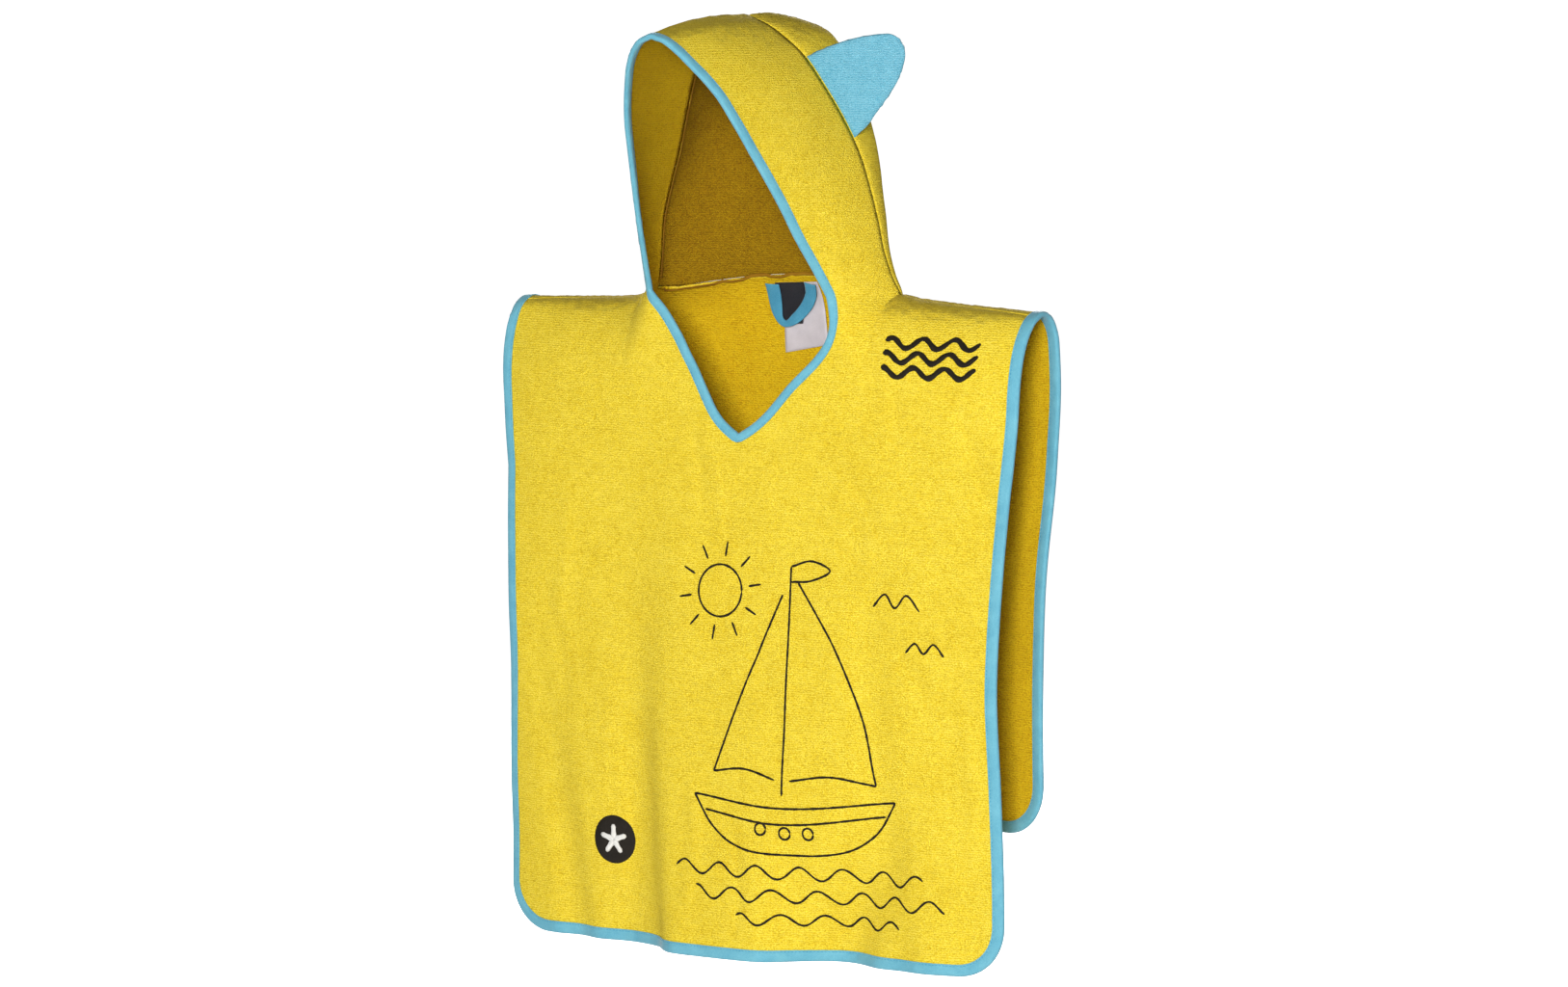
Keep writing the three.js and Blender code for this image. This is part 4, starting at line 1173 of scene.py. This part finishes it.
# The hanging loop and the labels, inside the back
def inside_back(rows, rise, thick):
    """Outer and inner faces of a thin piece that lies on the inside of the back panel."""
    flat = back_point(rows[..., 0], rows[..., 1])
    along = unit(np.gradient(flat, axis=0))
    across = unit(np.gradient(flat, axis=1))
    normal = unit(np.cross(along, across))
    normal = np.where(normal[..., 1:2] < 0, -normal, normal)
    return flat - normal * (CLOTH + rise)[..., None], flat - normal * (CLOTH + rise + thick)[..., None]


def thin_piece(name, near, far, faced, replaced):
    points = np.concatenate([near.reshape(-1, 3), far.reshape(-1, 3)])
    faces = slab_faces(*near.shape[:2])
    made = add_object(name, points, faces, [faced])
    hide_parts(replaced)
    return made


def label(name, corners, rise, faced, replaced, curl):
    """A woven label that hangs from the neck seam: its corners are given right and left, top and foot."""
    top_right, top_left, foot_right, foot_left = (np.array(corner, float) for corner in corners)
    down, side = np.meshgrid(np.linspace(0, 1, 26), np.linspace(0, 1, 16), indexing="ij")
    down, side = down[..., None], side[..., None]
    rows = mix(mix(top_right, top_left, side), mix(foot_right, foot_left, side), down)
    down, side = down[..., 0], side[..., 0]
    lift = rise + curl * down ** 2 * (0.4 + 0.6 * side) + 0.15 * np.sin(down * 9 + side * 3)
    near, far = inside_back(rows, lift, 0.4)
    return thin_piece(name, near, far, faced, replaced)


label("label_dark_satin", [(-35, 20), (-2, 21.5), (-34, -23), (-10, -21)], 2.9, LABEL_BLACK,
      "label_dark", 0.2)
label("label_pale_satin", [(-33, 19), (12, 21), (-31, -49), (18, -40)], 1.1, LABEL_GREY,
      "label_pale", 1.2)

# The loop's way: x, width, z
LOOP_WAY = [
    (-37, 14, 20), (-38, 14, 6), (-37.5, 12, -8), (-34, 7, -18), (-28, 6, -21.5), (-18, 10, -17),
    (-6, 12, -6), (3, 12, 8), (6, 12, 21),
]


def hanging_loop():
    curve = space_curve(LOOP_WAY)
    t = np.linspace(0, 1, 72)
    p = curve(t)
    along = curve(np.minimum(1, t + 0.02)) - curve(np.maximum(0, t - 0.02))
    along[:, 1] = 0
    along = unit(along)
    half = np.linspace(-0.5, 0.5, 13)[None] * p[:, 1:2]
    x = p[:, None, 0] + along[:, None, 2] * half
    z = p[:, None, 2] - along[:, None, 0] * half
    rows = np.stack([x, z], -1)
    part = np.linspace(-1, 1, 13)[None]
    fold = 0.5 * np.abs(part) ** 6
    seam = 0.3 * np.exp(-((np.abs(part) - 0.72) / 0.07) ** 2)
    turn = 0.9 * np.exp(-((t - 0.47) / 0.1) ** 2)[:, None] * part
    lift = 4.2 + 0.6 - fold - seam + turn + 0.5 * np.sin(t * math.pi)[:, None]
    near, far = inside_back(rows, lift, 1.0)
    return thin_piece("hanging_loop_tape", near, far, LOOP_AQUA, "hang_loop")


hanging_loop()


# Line embroidery on the front: a plain seaside drawing
def smooth_line(points, step=2.0):
    points = np.asarray(points, float)
    way = lengths(points)
    at = np.linspace(0, way[-1], max(4, round(way[-1] / step)))
    return np.stack([through(way, points[:, k])(at) for k in range(2)], -1)


def straight(*points):
    return line_points(np.array([(x, z, 0) for x, z in points], float), 2.0)[:, :2]


def spoke(centre, start, end, angle):
    """A straight line out from a centre, from one distance to another."""
    return straight(*[(centre[0] + far * math.cos(angle), centre[1] + far * math.sin(angle))
                      for far in (start, end)])


def ring_of(x, z, radius):
    a = np.radians(np.linspace(0, 360, max(8, round(360 * radius / 110))))
    return np.stack([x + radius * np.cos(a), z + radius * np.sin(a)], -1)


def front_place(x, z):
    hit = FRONT_TREE.ray_cast(Vector((x, -400.0, z)), Vector((0, 1, 0)))
    return np.array(hit[0]), np.array(hit[1]) * (1 if hit[1][1] < 0 else -1)


def thread_line(line, wide, lift, high=0.8):
    """A satin-stitched line laid on the cloth, as ring points."""
    placed = [front_place(x, z) for x, z in line]
    p = np.array([a for a, _ in placed])
    n = unit(smooth_rows(np.array([b for _, b in placed]), 2, closed=False))
    along = unit(np.gradient(p, axis=0))
    across = unit(np.cross(along, n))
    step = np.arange(len(p))
    vary = 1 + 0.1 * np.sin(step * 1.3) + 0.08 * np.sin(step * 0.5 + 1)
    rings = []
    for angle in np.linspace(0, 2 * math.pi, 8, endpoint=False):
        rings.append(p + across * (wide / 2 * math.cos(angle) * vary)[:, None]
                     + n * (lift + high * max(-0.3, math.sin(angle))))
    rings = np.stack(rings, 1)
    for end in (0, -1):
        centre = rings[end].mean(0)
        rings[end] = centre + (rings[end] - centre) * 0.45
    return rings


def embroidery(name, lines, thread, wide=2.1, lift=0.15):
    points, faces, at = [], [], 0
    for line in lines:
        rings = thread_line(line, wide, lift)
        count, ring = rings.shape[:2]
        points.append(rings.reshape(-1, 3))
        faces += tube_faces(count, ring, at)
        at += count * ring
    made = add_object(name, np.concatenate(points), faces, [thread])
    return made


def wave_line(x0, x1, z, high, length, shift=0.0):
    x = np.arange(x0, x1, 2.0)
    return np.stack([x, z + high * np.sin((x - x0) / length * 2 * math.pi + shift)], -1)


SUN = (-16, -262)
SEASIDE = [
    straight((62, -236), (62, -446)),
    smooth_line([(70, -250), (112, -308), (142, -372), (156, -432)]),
    smooth_line([(156, -432), (112, -426), (70, -432)]),
    smooth_line([(54, -262), (26, -326), (4, -380), (-14, -428)]),
    smooth_line([(-14, -428), (20, -424), (54, -432)]),
    smooth_line([(-34, -450), (60, -458), (176, -446)]),
    smooth_line([(-34, -450), (-14, -478), (16, -496), (64, -501), (120, -496), (152, -478), (176, -446)]),
    smooth_line([(-22, -464), (60, -473), (164, -460)]),
    smooth_line([(62, -236), (84, -230), (104, -238), (84, -248), (62, -250)]),
    wave_line(-54, 206, -518, 6, 40),
    wave_line(-30, 228, -540, 6, 40, 1.5),
    wave_line(16, 178, -562, 5, 36, 0.6),
    ring_of(*SUN, 24),
    *[spoke(SUN, 32, 46, a) for a in np.radians(np.arange(0, 360, 36) + 10)],
    smooth_line([(150, -268), (163, -256), (174, -268), (186, -256), (200, -270)]),
    smooth_line([(186, -308), (196, -299), (205, -308), (215, -299), (226, -310)]),
    ring_of(40, -478, 5.5),
    ring_of(64, -481, 5.5),
    ring_of(88, -480, 5.5),
]
embroidery("embroidery_seaside", SEASIDE, BLACK_THREAD)

CHEST = [wave_line(154, 252, z, 4.5, 32, shift) for z, shift in ((-28, 0.4), (-41, 0.9), (-54, 1.4))]
embroidery("embroidery_chest", CHEST, BLACK_THREAD, 5.2)


# The small round patch near the hem
def patch(name, x0, z0, radius):
    turns, rings = 48, 7
    points, faces = [], []
    centre, normal = front_place(x0, z0)
    points.append(centre + normal * 1.1)
    for r in range(1, rings + 1):
        part = r / rings
        for k in range(turns):
            a = 2 * math.pi * k / turns
            p, n = front_place(x0 + radius * part * math.cos(a), z0 + radius * part * math.sin(a))
            lift = 1.0 if part < 0.9 else 1.35 if part < 1 else 0.1
            points.append(p + n * lift)
    for k in range(turns):
        m = (k + 1) % turns
        faces.append([0, 1 + m, 1 + k])
        for r in range(rings - 1):
            a, b = 1 + r * turns, 1 + (r + 1) * turns
            faces.append([a + k, a + m, b + m, b + k])
    made = add_object(name, np.array(points), faces, [BLACK_THREAD])
    return made


PATCH = (-145, -505)
patch("patch_round", *PATCH, 23.0)
STAR = [spoke(PATCH, 0, 14.5, math.radians(90 + 72 * k)) for k in range(5)]
embroidery("patch_star", STAR, WHITE_THREAD, 5.5, 1.25)


# The stage: a pale floor, soft light and the camera
def stage():
    data = bpy.data.meshes.new("floor")
    size, level = 3000.0, -1.05
    data.from_pydata([(-size, -size, level), (size, -size, level), (size, size, level),
                      (-size, size, level)], [], [[0, 1, 2, 3]])
    floor = put("floor", data)
    made, tree, shader = material("floor_pale")
    shader.inputs["Base Color"].default_value = (0.7, 0.7, 0.7, 1)
    shader.inputs["Roughness"].default_value = 0.9
    shader.inputs["Emission Color"].default_value = (1, 1, 1, 1)
    x, y, _ = axes(tree, node(tree, "ShaderNodeNewGeometry").outputs["Position"])
    sine, cosine = math.sin(CAMERA_TURN), math.cos(CAMERA_TURN)
    beyond = maths(tree, "MULTIPLY_ADD", x, -sine, maths(tree, "MULTIPLY", y, cosine))
    aside = maths(tree, "MULTIPLY_ADD", x, cosine, maths(tree, "MULTIPLY", y, sine))
    away = maths(tree, "ADD", beyond, CAMERA_AWAY)
    turned = maths(tree, "DIVIDE", maths(tree, "ABSOLUTE", aside), away)
    bright = map_range(tree, turned, 0.13, 0.2, 1.0, 0.0)
    bright = maths(tree, "MULTIPLY", bright, maths(tree, "GREATER_THAN", beyond, 1.2))
    tree.links.new(bright, shader.inputs["Emission Strength"])
    data.materials.append(made)


def lamp(name, place, aim, size, power):
    data = bpy.data.lights.new(name, "AREA")
    data.shape = "DISK"
    data.size = size
    data.energy = power
    made = put(name, data)
    made.location = place
    made.rotation_euler = (Vector(aim) - Vector(place)).to_track_quat("-Z", "Y").to_euler()


def surround():
    """Soft light: strong from the camera's side and the far side, weak from overhead."""
    world = bpy.data.worlds.new("studio")
    world.use_nodes = True
    tree = world.node_tree
    x, y, z = axes(tree, node(tree, "ShaderNodeTexCoord").outputs["Generated"])
    toward = maths(tree, "MULTIPLY", x, math.sin(CAMERA_TURN))
    toward = maths(tree, "MULTIPLY_ADD", y, -math.cos(CAMERA_TURN), toward)
    toward = maths(tree, "POWER", maths(tree, "ABSOLUTE", toward), 1.5)
    level = maths(tree, "MULTIPLY_ADD", toward, 0.62, maths(tree, "MULTIPLY_ADD", x, 0.16, 0.2))
    strength = maths(tree, "MULTIPLY", level, map_range(tree, z, 0.0, 0.7, 1.0, 0.07))
    background = tree.nodes["Background"]
    background.inputs["Color"].default_value = (1, 1, 1, 1)
    tree.links.new(strength, background.inputs["Strength"])
    bpy.context.scene.world = world


stage()
surround()
lamp("key", (3.6, -6.6, 0.9), (0, 0, -0.2), 2.0, 690)
lamp("behind", (-3.2, 4.6, 1.4), (0, 0, -0.1), 1.6, 330)
bpy.context.scene.view_settings.view_transform = "Standard"

camera_data = bpy.data.cameras.new("camera")
camera_data.sensor_width = SENSOR
camera_data.sensor_fit = "HORIZONTAL"
camera_data.lens = FOCAL_PIXELS / PHOTO_WIDTH * SENSOR
camera_data.clip_end = 200.0
camera = put("camera", camera_data)
camera.location = (math.sin(CAMERA_TURN) * CAMERA_AWAY, -math.cos(CAMERA_TURN) * CAMERA_AWAY, CAMERA_HEIGHT)
camera.rotation_euler = (math.radians(90 - CAMERA_DIP), 0, math.radians(CAMERA_SWING))
bpy.context.scene.camera = camera
